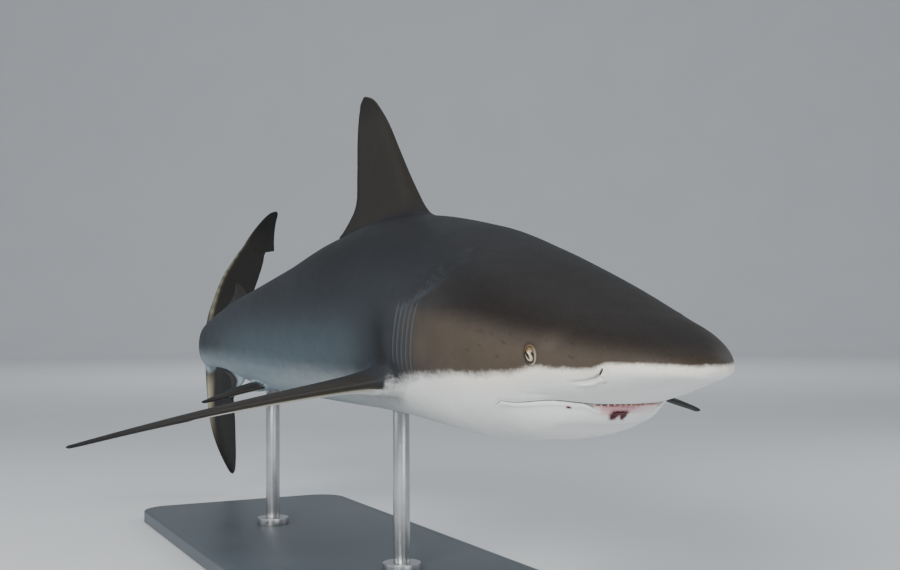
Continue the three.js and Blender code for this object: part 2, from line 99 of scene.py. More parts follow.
BODY_ENDS = (0.06, 78.0)
CHUNK = 4000  # points that are set against a line at once
JAW_DROP = ((5.75, 0.4), (7.5, 0.86), (10.5, 0.55), (13.2, 0.1), (15, 0))
# Level of the sharp line between the dark back and the white underside, and its feathered width.
COLOUR_LINE = (
    (0, 0.24), (0.53, 0.26), (2.1, 0.335), (3.21, 0.31), (4.16, 0.04), (5.36, 0.0), (6.87, 0.05),
    (7.34, 0.1), (8.13, -0.05), (9.04, -0.22), (11.5, -0.39), (13.4, -0.41), (16.6, -0.63),
    (19.2, -0.85), (21.8, -1.25), (24.5, -2.1), (28, -2.2), (34, -2.1), (42, -1.9), (52, -1.6),
    (62, -1.3), (70, -1.1), (78, -1.0),
)
COLOUR_FEATHER = (
    (0, 0.11), (4, 0.13), (8, 0.2), (14, 0.28), (20, 0.4), (24, 0.9), (30, 1.7), (50, 1.7),
    (78, 1.3),
)
TONE_LIMIT = 8  # the tone of full dark, and of full white below 0


def smooth_step(t: Array) -> Array:
    """Ease from 0 to 1 as t goes from 0 to 1."""
    c = np.clip(t, 0, 1)
    return c * c * (3 - 2 * c)


def signed_power(x: Array, p: float) -> Array:
    """Raise the size of x to a power and keep its sign."""
    return np.sign(x) * np.abs(x) ** p


def hump(x: Array, width: float) -> Array:
    """A smooth bell of height 1 around 0."""
    return np.exp(-((x / width) ** 2))


def unit(v: Array) -> Array:
    """Scale each vector to length 1."""
    return v / np.maximum(np.linalg.norm(v, axis=-1, keepdims=True), 1e-12)


class Curve:
    """A smooth curve through [x, y] pairs that never overshoots them."""

    def __init__(self, pairs: Sequence[Sequence[float]]) -> None:
        """Prepare the slopes.

        Args:
            pairs: the points, with rising x.
        """
        self.x = np.array([p[0] for p in pairs], float)
        self.y = np.array([p[1] for p in pairs], float)
        self.step = np.diff(self.x)
        slope = np.diff(self.y) / self.step
        self.tangent = np.zeros(len(self.x))
        self.tangent[0], self.tangent[-1] = slope[0], slope[-1]
        for i in range(1, len(self.x) - 1):
            if slope[i - 1] * slope[i] > 0:
                before = 2 * self.step[i] + self.step[i - 1]
                after = self.step[i] + 2 * self.step[i - 1]
                self.tangent[i] = (before + after) / (before / slope[i - 1] + after / slope[i])

    def __call__(self, x: Array) -> Array:
        """Read the curve.

        Args:
            x: where to read it; beyond the ends the end values hold.

        Returns:
            The values.
        """
        x = np.clip(np.asarray(x, float), self.x[0], self.x[-1])
        i = np.clip(np.searchsorted(self.x, x, "left") - 1, 0, len(self.x) - 2)
        t = (x - self.x[i]) / self.step[i]
        rise = t * t * (3 - 2 * t)
        ease = t * (1 - t)
        bend = self.tangent[i] * (1 - t) - self.tangent[i + 1] * t
        return self.y[i] * (1 - rise) + self.y[i + 1] * rise + self.step[i] * ease * bend


def column(rows: Sequence[Sequence[float]], number: int) -> Curve:
    """The curve of one column of a table over its first column."""
    return Curve([(row[0], row[number]) for row in rows])


def tone_at(at: Array, up: Array) -> Array:
    """Height over the colour line, in widths of its feathered edge."""
    over = up - Curve(COLOUR_LINE)(at)
    return np.clip(over / Curve(COLOUR_FEATHER)(at), -TONE_LIMIT, TONE_LIMIT)


def off_back(turn: Array) -> Array:
    """Angle off the middle of the back in degrees, alike on both sides."""
    return np.degrees(np.minimum(turn, 2 * math.pi - turn))


class Spine:
    """The bent backbone that every measure is taken from."""

    STEP = 0.25

    def __init__(self) -> None:
        """Lay the backbone out from its headings."""
        self.heading = Curve(HEADINGS)
        middles = np.arange(0, 100, self.STEP) + self.STEP / 2
        turn = np.radians(self.heading(middles))
        steps = np.stack([np.cos(turn), np.sin(turn)], 1) * self.STEP
        self.line = np.vstack([[0, 0], np.cumsum(steps, 0)])

    def directions(self, at: Array) -> tuple[Array, Array]:
        """Tailward and rightward directions at stations.

        Args:
            at: the stations.

        Returns:
            Two arrays of vectors.
        """
        turn = np.radians(self.heading(at))
        flat = np.zeros_like(turn)
        tail = np.stack([np.cos(turn), np.sin(turn), flat], -1)
        return tail, np.stack([-tail[..., 1], tail[..., 0], flat], -1)

    def place(self, at: Array, side: Array, up: Array) -> Array:
        """Turn body measures into points.

        Args:
            at: stations.
            side: distances to the shark's right.
            up: heights over the snout's level.

        Returns:
            Points in metres.
        """
        at, side, up = np.broadcast_arrays(*(np.asarray(v, float) for v in (at, side, up)))
        k = np.clip(at / self.STEP, 0, len(self.line) - 2)
        i = np.floor(k).astype(int)
        part = (k - i)[..., None]
        flat = self.line[i] * (1 - part) + self.line[i + 1] * part
        _, right = self.directions(at)
        out = SNOUT_TIP + right * (side * PERCENT)[..., None] + UP * (up * PERCENT)[..., None]
        out[..., :2] += flat * PERCENT
        return out

    def measure(self, points: Array) -> Array:
        """Turn points back into body measures.

        Args:
            points: points in metres.

        Returns:
            An array of [at, side, up] rows.
        """
        flat = (points[:, :2] - SNOUT_TIP[:2]) / PERCENT
        out = np.zeros((len(points), 3))
        out[:, 2] = (points[:, 2] - SNOUT_TIP[2]) / PERCENT
        starts, along = self.line[:-1], np.diff(self.line, axis=0) / self.STEP
        for begin in range(0, len(points), CHUNK):
            rows = slice(begin, begin + CHUNK)
            away = flat[rows, None, :] - starts[None]
            run = np.clip((away * along[None]).sum(-1), 0, self.STEP)
            miss = away - run[..., None] * along[None]
            best = np.argmin((miss ** 2).sum(-1), 1)
            pick = np.arange(len(best))
            out[rows, 0] = best * self.STEP + run[pick, best]
            across = miss[pick, best]
            out[rows, 1] = along[best, 0] * across[:, 1] - along[best, 1] * across[:, 0]
        return out


@dataclass(frozen=True)
class Mouth:
    """The mouth's arch under the head."""

    front: float = 5.75
    corner: float = 10.85
    half: float = 4.95
    curve: float = 2.2
    wall_run: float = 1.9
    wall_steepness: float = 2.2
    fade_from: float = 0.55
    fade_over: float = 0.5

    def line(self, side: Array) -> Array:
        """Station of the arch at a distance from the middle."""
        return self.front + (self.corner - self.front) * np.abs(side / self.half) ** self.curve


class Body:
    """The smooth form of the body, before any fold or slit."""

    NUDGE_AT, NUDGE_TURN = 0.03, 0.006

    def __init__(self, spine: Spine, mouth: Mouth) -> None:
        """Prepare the outline's curves.

        Args:
            spine: the backbone.
            mouth: the mouth's sizes.
        """
        self.spine = spine
        self.mouth = mouth
        self.back, self.belly, self.half, self.level = (column(BODY, k) for k in (1, 2, 3, 4))
        self.jaw = Curve(JAW_DROP)

    def drop(self, at: Array, side: Array) -> Array:
        """How far the lower jaw hangs below the line of the belly.

        Args:
            at: stations.
            side: distances from the middle.

        Returns:
            The drop, in per cent.
        """
        mouth = self.mouth
        behind = np.clip((at - mouth.line(side)) / mouth.wall_run, 0, 1)
        across = np.abs(side) / mouth.half
        fade = 1 - smooth_step((across - mouth.fade_from) / mouth.fade_over)
        return self.jaw(at) * (1 - (1 - behind) ** mouth.wall_steepness) * fade

    def section(self, at: Array, turn: Array) -> tuple[Array, Array]:
        """The outline of a cross-section.

        Args:
            at: stations.
            turn: angles from the middle of the back.

        Returns:
            Side and up measures.
        """
        s, c = np.sin(turn), np.cos(turn)
        level = self.level(at)
        side = self.half(at) * signed_power(s, 2 / SQUARENESS)
        reach = np.where(c >= 0, self.back(at) - level, level - self.belly(at))
        up = level + reach * signed_power(c, 2 / SQUARENESS)
        return side, np.where(c < 0, up - self.drop(at, side), up)

    def point(self, at: Array, turn: Array) -> Array:
        """Points on the form."""
        side, up = self.section(at, turn)
        return self.spine.place(at, side, up)

    def normal(self, at: Array, turn: Array) -> Array:
        """Outward directions of the form.

        Args:
            at: stations.
            turn: angles from the middle of the back.

        Returns:
            Unit vectors.
        """
        a, b = (np.clip(at + way * self.NUDGE_AT, *BODY_ENDS) for way in (-1, 1))
        along = self.point(b, turn) - self.point(a, turn)
        around = self.point(at, turn + self.NUDGE_TURN) - self.point(at, turn - self.NUDGE_TURN)
        return unit(np.cross(along, around))

    def turn_at(self, at: float, side: float, below: bool) -> float:
        """The angle at which a section reaches a distance from the middle.

        Args:
            at: the station.
            side: the distance, negative on the left.
            below: whether the lower of the two places is meant.

        Returns:
            The angle.
        """
        share = min(1.0, abs(side) / float(self.half(at)))
        turn = math.asin(share ** (SQUARENESS / 2))
        turn = math.pi - turn if below else turn
        return turn if side >= 0 else 2 * math.pi - turn

    def turn_up(self, at: float, up: float, side: int) -> float:
        """The angle at which a section reaches a level.

        Args:
            at: the station.
            up: the level.
            side: 1 on the right and -1 on the left.

        Returns:
            The angle.
        """
        level = float(self.level(at))
        reach = float(self.back(at)) - level if up >= level else level - float(self.belly(at))
        share = max(-1.0, min(1.0, (up - level) / reach))
        turn = math.acos(math.copysign(abs(share) ** (SQUARENESS / 2), share))
        return turn if side > 0 else 2 * math.pi - turn


class Field:
    """Points of the skin with all that a fold needs to know about them."""

    def __init__(self, body: Body, at: Array, turn: Array) -> None:
        """Work out place and direction.

        Args:
            body: the smooth form.
            at: stations.
            turn: angles from the middle of the back.
        """
        self.at = np.clip(at, *BODY_ENDS)
        self.turn = turn
        self.side, self.up = body.section(self.at, turn)
        self.point = body.spine.place(self.at, self.side, self.up)
        self.normal = body.normal(self.at, turn)
        self.count = len(at)


class Patch:
    """A flat frame on the skin, with lengths in millimetres."""

    def __init__(self, body: Body, at: float, up: float, side: int, tilt: float) -> None:
        """Set the frame up.

        Args:
            body: the smooth form.
            at: station of its middle.
            up: level of its middle.
            side: 1 on the right and -1 on the left.
            tilt: how far its top leans tailward, in degrees.
        """
        turn = np.array([body.turn_up(at, up, side)])
        station = np.array([at])
        self.middle = body.point(station, turn)[0]
        self.out = body.normal(station, turn)[0]
        tail, _ = body.spine.directions(station)
        high = unit(UP - self.out * self.out[2])
        back = np.cross(self.out, high)
        back = back if back @ tail[0] > 0 else -back
        lean = math.radians(tilt)
        self.high = high * math.cos(lean) + back * math.sin(lean)
        self.back = back * math.cos(lean) - high * math.sin(lean)

    def flat(self, points: Array) -> tuple[Array, Array, Array]:
        """Measure points in the frame.

        Args:
            points: points in metres.

        Returns:
            Lengths tailward, upward and outward, in millimetres.
        """
        away = (points - self.middle) / MM
        return away @ self.back, away @ self.high, away @ self.out


def segment_distance(a: Array, b: Array, path: Sequence[Sequence[float]]) -> tuple:
    """Distance from points to a broken line in a flat frame.

    Args:
        a: first measures of the points.
        b: second measures.
        path: the line's corners.

    Returns:
        The distance, and how far along the line the nearest place is, from 0 to 1.
    """
    corners = np.array(path, float)
    lengths = np.linalg.norm(np.diff(corners, axis=0), axis=1)
    total, passed = lengths.sum(), 0.0
    best, share = np.full(a.shape, 1e9), np.zeros(a.shape)
    for start, end, length in zip(corners[:-1], corners[1:], lengths):
        way = (end - start) / length
        run = np.clip((a - start[0]) * way[0] + (b - start[1]) * way[1], 0, length)
        gap = np.hypot(a - start[0] - run * way[0], b - start[1] - run * way[1])
        nearer = gap < best
        best = np.where(nearer, gap, best)
        share = np.where(nearer, (passed + run) / total, share)
        passed += length
    return best, share


class Mark(Enum):
    """Colour marks and painted shade that folds leave on the skin, by attribute and component."""

    PIT_SHADE = ("fold", 0)
    GUM = ("fold", 1)
    WOUND = ("fold", 2)
    LID_PALE = ("lid", 0)
    LID_GOLD = ("lid", 1)
    LID_DARK = ("lid", 2)
    GILL = ("gill_shade_brown", 0)
    SHADE = ("gill_shade_brown", 1)
    BROWN = ("gill_shade_brown", 2)


Marks = dict[Mark, Array]


def lay_colour_and_shade(marks: Marks, mark: Mark, amount: Array) -> None:
    """Lay a mark of colour or of painted shade on the skin wherever it is stronger than what is
    there.
    """
    marks[mark] = np.maximum(marks[mark], amount)


class Fold:
    """One feature that is cut into, and pushed out of, the smooth form."""

    cuts: tuple[float, ...] = ()
    reach: float = 1.0
    fine: tuple[float, float] = (0.0, 0.0)

    def measure(self, field: Field) -> Array:
        """A value whose contours are the feature's crisp lines, if it has cuts."""
        raise NotImplementedError

    def push(self, field: Field, marks: Marks) -> Array:
        """How far each point moves, in metres; also paints the marks."""
        raise NotImplementedError


class SidedFold(Fold):
    """A fold on one side of the head, in a flat frame of its own."""

    AT, LEVEL, TILT = 0.0, 0.0, 0.0

    def __init__(self, body: Body, side: int) -> None:
        """Set it on one side.

        Args:
            body: the smooth form.
            side: 1 on the right and -1 on the left.
        """
        self.patch = Patch(body, self.AT, self.LEVEL, side, self.TILT)
        self.side = side


FAR = 50.0


class MouthFold(Fold):
    """The mouth: a line of painted shade that opens at the front, with a furrow behind each
    corner.
    """

    cuts = (-0.5, -0.2, 0.0, 0.06, 0.2, 0.5, 0.9, 1.0, 1.3, 1.8)
    reach = 2.5
    fine = (28.0, 15.0)
    LIP = 5.0
    HOOK_END, HOOK_DROP, HOOK_BEND = 11.95, 4.5, 1.4
    BACKMOST, LOWEST_COSINE = 15, 0.2
    OPEN_HALF, OPEN_FADE = 1.75, 0.8
    SHUT_GAP, OPEN_GAP = 1.0, 12.2
    SHUT_DEPTH, OPEN_DEPTH = 4.5, 5.0
    # The wound's sores and the speck behind it: across in per cent, and past the lip, width and
    # height in millimetres.
    SORES = ((1.15, 8.2, 5.0, 7.6), (0.42, 9.4, 4.3, 7.6), (0.8, 4.0, 7.0, 4.0))
    SPECK = (3.02, 6.6, 1.9, 1.9)
    SPECK_DEPTH = 0.8

    def __init__(self, body: Body) -> None:
        """Lay out the mouth's line.

        Args:
            body: the smooth form.
        """
        mouth = body.mouth
        half = np.linspace(0, 1, 160)
        sides = mouth.half * half
        stations = mouth.line(sides)
        turns = np.array([body.turn_at(a, s, True) for a, s in zip(stations, sides)])
        hook_at = np.linspace(mouth.corner, self.HOOK_END, 26)[1:]
        share = np.linspace(0, 1, 26)[1:]
        hook_turn = turns[-1] + share ** self.HOOK_BEND * math.radians(self.HOOK_DROP)
        right_at = np.concatenate([stations, hook_at])
        right_turn = np.concatenate([turns, hook_turn])
        at = np.concatenate([right_at[::-1], right_at[1:]])
        turn = np.concatenate([2 * math.pi - right_turn[::-1], right_turn[1:]])
        spread = np.concatenate([sides, mouth.half + share])
        self.across = np.concatenate([-spread[::-1], spread[1:]])
        self.points = body.point(at, turn)
        self.normals = body.normal(at, turn)
        self.tangents = unit(np.gradient(self.points, axis=0))
        tail, right = body.spine.directions(at)
        slope = np.gradient(at) / np.maximum(np.gradient(self.across), 1e-6)
        inward = unit(tail - right * slope[:, None])
        hook = np.abs(self.across) > mouth.half
        inward[hook] = -self.normals[hook]
        self.inward = inward
        self.mouth = mouth

    def nearest(self, field: Field) -> tuple[Array, Array]:
        """Find each point's place along and below the line.

        Args:
            field: the points.

        Returns:
            Index of the nearest place on the line, and signed distance below it in millimetres.
        """
        index = np.zeros(field.count, int)
        below = np.full(field.count, FAR * 10)
        low = np.cos(field.turn) < self.LOWEST_COSINE
        near = np.nonzero((field.at < self.BACKMOST) & low)[0]
        for begin in range(0, len(near), CHUNK):
            rows = near[begin:begin + CHUNK]
            away = field.point[rows, None, :] - self.points[None]
            best = np.argmin((away ** 2).sum(-1), 1)
            v = away[np.arange(len(rows)), best]
            along = (v * self.tangents[best]).sum(-1)
            flat = v - along[:, None] * self.tangents[best]
            size = np.linalg.norm(flat, axis=1)
            turned = np.cross(self.tangents[best], v)
            sign = np.sign((turned * self.normals[best]).sum(-1))
            past = np.where((best == 0) | (best == len(self.points) - 1), np.abs(along), 0)
            index[rows] = best
            below[rows] = (sign * size + np.where(past > 1 * MM, past * 4, 0)) / MM
        return index, below

    def opening(self, index: Array) -> tuple[Array, Array, Array]:
        """How wide and deep the mouth is along its line.

        Args:
            index: places on the line.

        Returns:
            The gap in millimetres, the depth in millimetres, and how open it is from 0 to 1.
        """
        across = np.abs(self.across[index])
        opened = 1 - smooth_step((across - self.OPEN_HALF) / self.OPEN_FADE)
        gap = self.SHUT_GAP + self.OPEN_GAP * opened
        tip = np.clip((self.mouth.half + 1 - across) / 1.3, 0, 1)
        return gap, (self.SHUT_DEPTH + self.OPEN_DEPTH * opened) * smooth_step(tip), opened

    def measure(self, field: Field) -> Array:
        """0 at the upper lip and 1 at the lower."""
        index, below = self.nearest(field)
        gap, _, _ = self.opening(index)
        value = np.where(below < 0, below / self.LIP, below / gap)
        value = np.where(below > gap, 1 + (below - gap) / self.LIP, value)
        return np.clip(value, -FAR, FAR)

    def push(self, field: Field, marks: Marks) -> Array:
        """Sink the mouth, roll the lips, paint shade into its line and paint the gum and the
        wound.
        """
        index, below = self.nearest(field)
        gap, depth, opened = self.opening(index)
        share = below / gap
        slot = np.clip(np.minimum(share / 0.1, (1 - share) / 0.1), 0, 1)
        groove = np.clip(share / 0.05, 0, 1) * (0.12 + 0.88 * smooth_step((0.42 - share) / 0.3))
        groove = groove * smooth_step((1.02 - share) / 0.3)
        sink = (slot * (1 - opened) + groove * opened) * depth
        past = below - gap
        tip = np.clip(depth / self.SHUT_DEPTH, 0, 1)
        lower = (0.4 + 0.3 * opened) * hump(past - 2.4, 2.6) * (past > 0) * tip
        lower += 0.9 * hump(past - 4.0, 3.0) * (1 - opened) * (past > 0) * tip
        upper = -0.6 * hump(below + 1.2, 1.8) * (below <= 0) * tip
        # Painted shade: the shut line, and the soft shadow under the upper lip where the mouth
        # opens.
        inside = (share > 0.02) & (share < 0.98)
        shadow = smooth_step(share / 0.04) * smooth_step((0.26 - share) / 0.18)
        dark = inside * (1 - opened) * 0.55 + opened * shadow * 0.5
        lay_colour_and_shade(marks, Mark.PIT_SHADE, dark * tip)
        across = self.across[index]
        wet = smooth_step((share - 0.08) / 0.15) * smooth_step((2.0 - share) / 1.3)
        middle = 0.42 + 0.58 * hump(across - 0.85, 1.1)
        middle = middle * smooth_step((2.4 - np.abs(across)) / 0.8)
        lay_colour_and_shade(marks, Mark.GUM, wet * opened * middle * (below > 0))
        *sores, speck = (
            hump((across - spot) * MM_IN_PERCENT, wide) * hump(past - low, tall)
            for spot, low, wide, tall in (*self.SORES, self.SPECK))
        lay_colour_and_shade(marks, Mark.WOUND, np.clip(sum(sores), 0, 1) * (below > 0))
        lay_colour_and_shade(marks, Mark.WOUND, self.SPECK_DEPTH * (speck * (below > 0)))
        inward = self.inward[index]
        return (inward * sink[:, None] + field.normal * (lower + upper)[:, None]) * MM


class EyeFold(SidedFold):
    """An eye's socket and the rolled lid round it."""

    cuts = (0.86, 0.94, 1.0, 1.06, 1.15, 1.3, 1.5, 1.75)
    reach = 2.2
    fine = (26.0, 19.0)
    AT, LEVEL, TILT = 7.66, 0.66, 17.0
    HALF_WIDE, HALF_HIGH = 6.4, 8.4
    RADIUS, SUNK = 15.0, 12.6
    DEEPEST, SOCKET = 14, 11.0
    FADE_FROM, FADE_END = 2, 2.4

    def radial(self, field: Field) -> tuple[Array, Array, Array, Array]:
        """Lengths from the eye's middle.

        Args:
            field: the points.

        Returns:
            Tailward and upward lengths, the share of the opening, and the plain distance.
        """
        a, b, out = self.patch.flat(field.point)
        share = np.hypot(a / self.HALF_WIDE, b / self.HALF_HIGH)
        other = (np.abs(out) > self.DEEPEST) | (field.side * self.side < 0)
        share = np.where(other, FAR, share)
        return a, b, share, np.hypot(a, b)

    def measure(self, field: Field) -> Array:
        """1 at the edge of the opening."""
        return np.clip(self.radial(field)[2], 0, FAR)

    def push(self, field: Field, marks: Marks) -> Array:
        """Sink the socket and roll the lid."""
        a, b, share, far = self.radial(field)
        ball = np.sqrt(np.maximum(self.RADIUS ** 2 - far ** 2, 0)) - self.SUNK
        around = np.arctan2(b, -a)
        front = smooth_step(0.5 + 0.5 * np.cos(around + 0.55))
        crest = np.maximum(ball, -1.0) + 0.75 + 0.35 * front
        out = np.clip((share - 1.0) / 0.85, 0, 1)
        lid = crest * (1 - smooth_step(out)) - 0.55 * hump(share - 1.62, 0.16)
        lid += 0.5 * hump(share - 1.1, 0.07)
        edge = np.clip((1.0 - share) / 0.1, 0, 1)
        height = np.where(share < 1, crest * (1 - edge) - self.SOCKET * edge, lid)
        near = share < self.FADE_END
        height = np.where(near, height, 0)
        soft = np.clip((self.FADE_END - share) / 0.4, 0, 1)
        height = height * np.where(share > self.FADE_FROM, soft, 1)
        pale = hump(share - 1.23, 0.075) * near * front ** 3
        crown = smooth_step(0.5 + (b + 0.35 * a) / 9.0)
        gold = hump(share - 1.24, 0.17) * near * (1 - front) ** 0.6 * crown
        lay_colour_and_shade(marks, Mark.LID_PALE, pale)
        lay_colour_and_shade(marks, Mark.LID_GOLD, gold)
        around_lid = hump(share - 1.5, 0.14) * (0.25 + 0.55 * (1 - front))
        socket = hump(share - 1.22, 0.14) * (1 - front) * (1 - crown) * 0.8
        dark = np.maximum(np.maximum(hump(share - 1.0, 0.09), around_lid), socket) * near
        lay_colour_and_shade(marks, Mark.LID_DARK, np.maximum(dark, share < 0.98))
        return self.patch.out * (height * MM)[:, None]


class NostrilFold(SidedFold):
    """A slit nostril with its small flap and the crease that runs back from it."""

    cuts = (0.7, 1.0, 1.35, 2.0)
    reach = 3.2
    fine = (30.0, 13.0)
    AT, LEVEL = 3.6, -0.07
    SLIT = ((3.6, -4.0), (1.4, -1.8), (-2.0, 3.0))
    CREASE = ((4.2, -5.0), (12.0, -9.4), (22.0, -12.2), (38.0, -14.4), (50.0, -15.4))
    WIDTH = 1.05
    DEEPEST, BACKMOST = -34, 9

    def places(self, field: Field) -> tuple[Array, ...]:
        """Distances from the slit and from the crease.

        Args:
            field: the points.

        Returns:
            Slit distance and share, crease distance and share, upward and tailward lengths.
        """
        a, b, out = self.patch.flat(field.point)
        slit, along = segment_distance(a, b, self.SLIT)
        crease, run = segment_distance(a, b, self.CREASE)
        wrong = (out < self.DEEPEST) | (field.at > self.BACKMOST) | (field.side * self.side < 0)
        slit = np.where(wrong, FAR * 2, slit)
        crease = np.where(wrong, FAR * 2, crease)
        return slit, along, crease, run, b, a

    def measure(self, field: Field) -> Array:
        """1 at the rim of the slit."""
        slit = self.places(field)[0]
        return np.clip(slit / self.WIDTH, 0, FAR)

    def push(self, field: Field, marks: Marks) -> Array:
        """Sink the slit and the crease, raise the flap and paint shade into the slit, the crease
        and the nick.
        """
        slit, along, crease, run, b, a = self.places(field)
        share = slit / self.WIDTH
        inside = smooth_step((1.15 - share) / 0.45)
        height = -5.0 * inside + 0.7 * hump(share - 1.9, 0.8)
        flap = hump(a - 0.2, 2.6) * hump(b + 4.4, 2.0)
        height = height + 1.3 * flap * (share > 1)
        fade = (1 - run) ** 0.8
        height = height - 3.0 * hump(crease, 2.2) * fade * (share > 1)
        path_b = np.interp(a, *np.transpose(self.CREASE))
        under = b - path_b
        ridge = hump(under + 4.4, 3.0) * smooth_step((a + 1) / 6) * smooth_step((46 - a) / 25)
        dip = hump(under - 5.0, 4.5) * smooth_step(a / 6) * smooth_step((40 - a) / 25)
        valid = crease < FAR
        height = height + (2.0 * ridge - 0.8 * dip) * valid
        nick = hump((a - 2.0) * 0.5 + (b + 15.0) * 0.8, 1.0) * hump(a - 2.0, 3.4)
        height = height - 1.2 * nick * valid
        # Painted shade in the nick, the slit and the crease.
        lay_colour_and_shade(marks, Mark.PIT_SHADE, 0.4 * nick * valid)
        lay_colour_and_shade(marks, Mark.PIT_SHADE, smooth_step((1.2 - share) / 0.4))
        lay_colour_and_shade(marks, Mark.PIT_SHADE, 0.6 * hump(crease, 1.6) * fade * valid)
        return field.normal * (height * MM)[:, None]


class GillFold(Fold):
    """One gill slit on both sides: a flap that ends in a deep line darkened with painted shade."""

    FIRST, STEP, COUNT = 19.67, 0.62, 5
    LOW, RISE, HIGH, BOW, LEAN = -1.25, 0.2, 3.7, -0.35, 1.1
    INNERMOST, SWEEP_FROM, SWEEP_LEVEL = 2, 15.8, 4.34
    FLAP, DROP, SLOT = 0.9, -1.9, -2.6
    cuts = (-0.1, -0.035, 0.0, 0.03, 0.09)
    reach = 0.32

    def __init__(self, number: int) -> None:
        """Choose the slit.

        Args:
            number: 0 for the foremost.
        """
        self.number = number

    def share(self, field: Field) -> Array:
        """How far up the slit a point is, from 0 to 1."""
        low = self.LOW + self.RISE * self.number
        return (field.up - low) / (self.HIGH - low)

    def behind(self, field: Field) -> Array:
        """How far a point is behind the slit, in per cent of the length."""
        t = np.clip(self.share(field), -0.2, 1.25)
        bow = self.BOW * np.sin(math.pi * np.clip(t, 0, 1)) - self.LEAN * t * np.abs(t)
        return field.at - (self.FIRST + self.STEP * self.number + bow)

    def behind_top(self, field: Field) -> Array:
        """How far a point is behind the slit's upper end, in per cent of the length."""
        return field.at - (self.FIRST + self.STEP * self.number - self.LEAN)

    def measure(self, field: Field) -> Array:
        """0 on the slit."""
        t = self.share(field)
        off = np.maximum(np.maximum(-t, t - 1), 0) > 0.06
        off = off | (np.abs(field.side) < self.INNERMOST)
        return np.where(off, FAR, self.behind(field))

    def push(self, field: Field, marks: Marks) -> Array:
        """Raise the flap before the slit, and drop the skin behind it."""
        t, x = self.share(field), self.behind(field)
        ends = smooth_step((t + 0.02) / 0.16) * smooth_step((1.03 - t) / 0.2)
        outside = np.abs(field.side) > self.INNERMOST
        ends = ends * outside
        flap = self.FLAP * np.clip(1 + x / 0.42, 0, 1) ** 2 * (x <= 0)
        after = self.DROP * np.exp(-np.clip(x, 0, 9) / 0.11) * (x > 0)
        slot = self.SLOT * hump(x - 0.02, 0.04)
        height = (flap + after + slot) * ends
        # Painted shade in the slit.
        line = hump(x - 0.015, 0.05) * ends * 0.85
        lay_colour_and_shade(marks, Mark.PIT_SHADE, line)
        streak = hump(x + 0.13, 0.085) * ends * smooth_step((t + 0.05) / 0.3)
        past = self.behind_top(field)
        sweep_level = self.SWEEP_LEVEL - 0.24 * self.number - (past * 0.42) ** 3
        reach = smooth_step((field.at - self.SWEEP_FROM) / 2) * (past < 0)
        sweep = hump(field.up - sweep_level + 0.3, 0.09) * reach * outside
        streak = np.maximum(streak, sweep * 0.35)
        lay_colour_and_shade(marks, Mark.GILL, streak)
        return field.normal * (height * MM)[:, None]


class SoftRelief(Fold):
    """Broad, shallow hollows and swellings of the head and flank."""

    # Brow, the hollow before the eye, behind the gills, flank, cheek, and below the eye: height
    # in millimetres, middle and width along the body, middle and width up it.
    FORMS = (
        (1.6, 8.2, 1.6, 1.75, 0.65), (-1.2, 6.0, 1.3, 0.9, 0.8), (-3.4, 24.2, 1.3, 0.6, 2.3),
        (1.8, 27.5, 2.4, 0.2, 2.0), (1.6, 13.8, 2.2, 0.6, 1.5), (-0.55, 8.5, 0.9, -1.35, 0.1),
    )
    PIT_DEPTH, PIT_AT, PIT_WIDE = -3.0, 75.4, 0.35

    def push(self, field: Field, marks: Marks) -> Array:
        """Shape the brow, cheek, the hollow behind the gills and the dip before the tail, and
        paint shade into the hollow behind the gills.
        """
        at, up = field.at, field.up
        lateral = smooth_step((np.abs(field.side) - 2) / 2)
        crest = smooth_step((np.cos(field.turn) - 0.4) / 0.4)
        height = self.PIT_DEPTH * hump(at - self.PIT_AT, self.PIT_WIDE) * crest
        for high, middle, along, level, tall in self.FORMS:
            height += high * hump(at - middle, along) * hump(up - level, tall) * lateral
        # Painted shade: a darker band over the hollow behind the gills.
        band = hump(at - 24.0, 1.1) * smooth_step((up + 2.4) / 1.2) * smooth_step((3.6 - up) / 2.2)
        lay_colour_and_shade(marks, Mark.SHADE, band * lateral)
        brown = hump(at - 17.5, 2.2) * hump(up - 0.9, 2.0)
        brown += hump(at - 6.7, 1.1) * hump(up - 1.0, 0.7)
        lay_colour_and_shade(marks, Mark.BROWN, np.clip(brown, 0, 1) * lateral)
        return field.normal * (height * MM)[:, None]


# ------------------------------------------------------------------ mesh work
WELD = 0.000001
FLOOR_WELD = 0.0005
CUT_SNAP = 0.004


class Part(Enum):
    """The parts of a mesh that can be selected, by their list."""

    POINT = "vertices"
    EDGE = "edges"
    FACE = "polygons"


def activate(obj: Piece) -> None:
    """Make one object the only selected and active one."""
    bpy.ops.object.select_all(action="DESELECT")
    obj.select_set(True)
    bpy.context.view_layer.objects.active = obj


def coords(obj: Piece) -> Array:
    """Read an object's points."""
    out = np.zeros(len(obj.data.vertices) * 3)
    obj.data.vertices.foreach_get("co", out)
    return out.reshape(-1, 3)


def set_coords(obj: Piece, points: Array) -> None:
    """Write an object's points."""
    obj.data.vertices.foreach_set("co", np.ascontiguousarray(points, float).ravel())
    obj.data.update()


def centres(obj: Piece) -> Array:
    """Read the middles of an object's faces."""
    out = np.zeros(len(obj.data.polygons) * 3)
    obj.data.polygons.foreach_get("center", out)
    return out.reshape(-1, 3)


def select_only(obj: Piece, part: Part, mask: Array) -> None:
    """Open an object for editing with only some of its points, edges or faces selected.

    Args:
        obj: the object.
        part: what is selected.
        mask: one truth value for each.
    """
    activate(obj)
    for other in Part:
        rows = getattr(obj.data, other.value)
        chosen = np.asarray(mask, bool) if other is part else np.zeros(len(rows), bool)
        rows.foreach_set("select", chosen)
    bpy.context.tool_settings.mesh_select_mode = [other is part for other in Part]
    bpy.ops.object.mode_set(mode="EDIT")


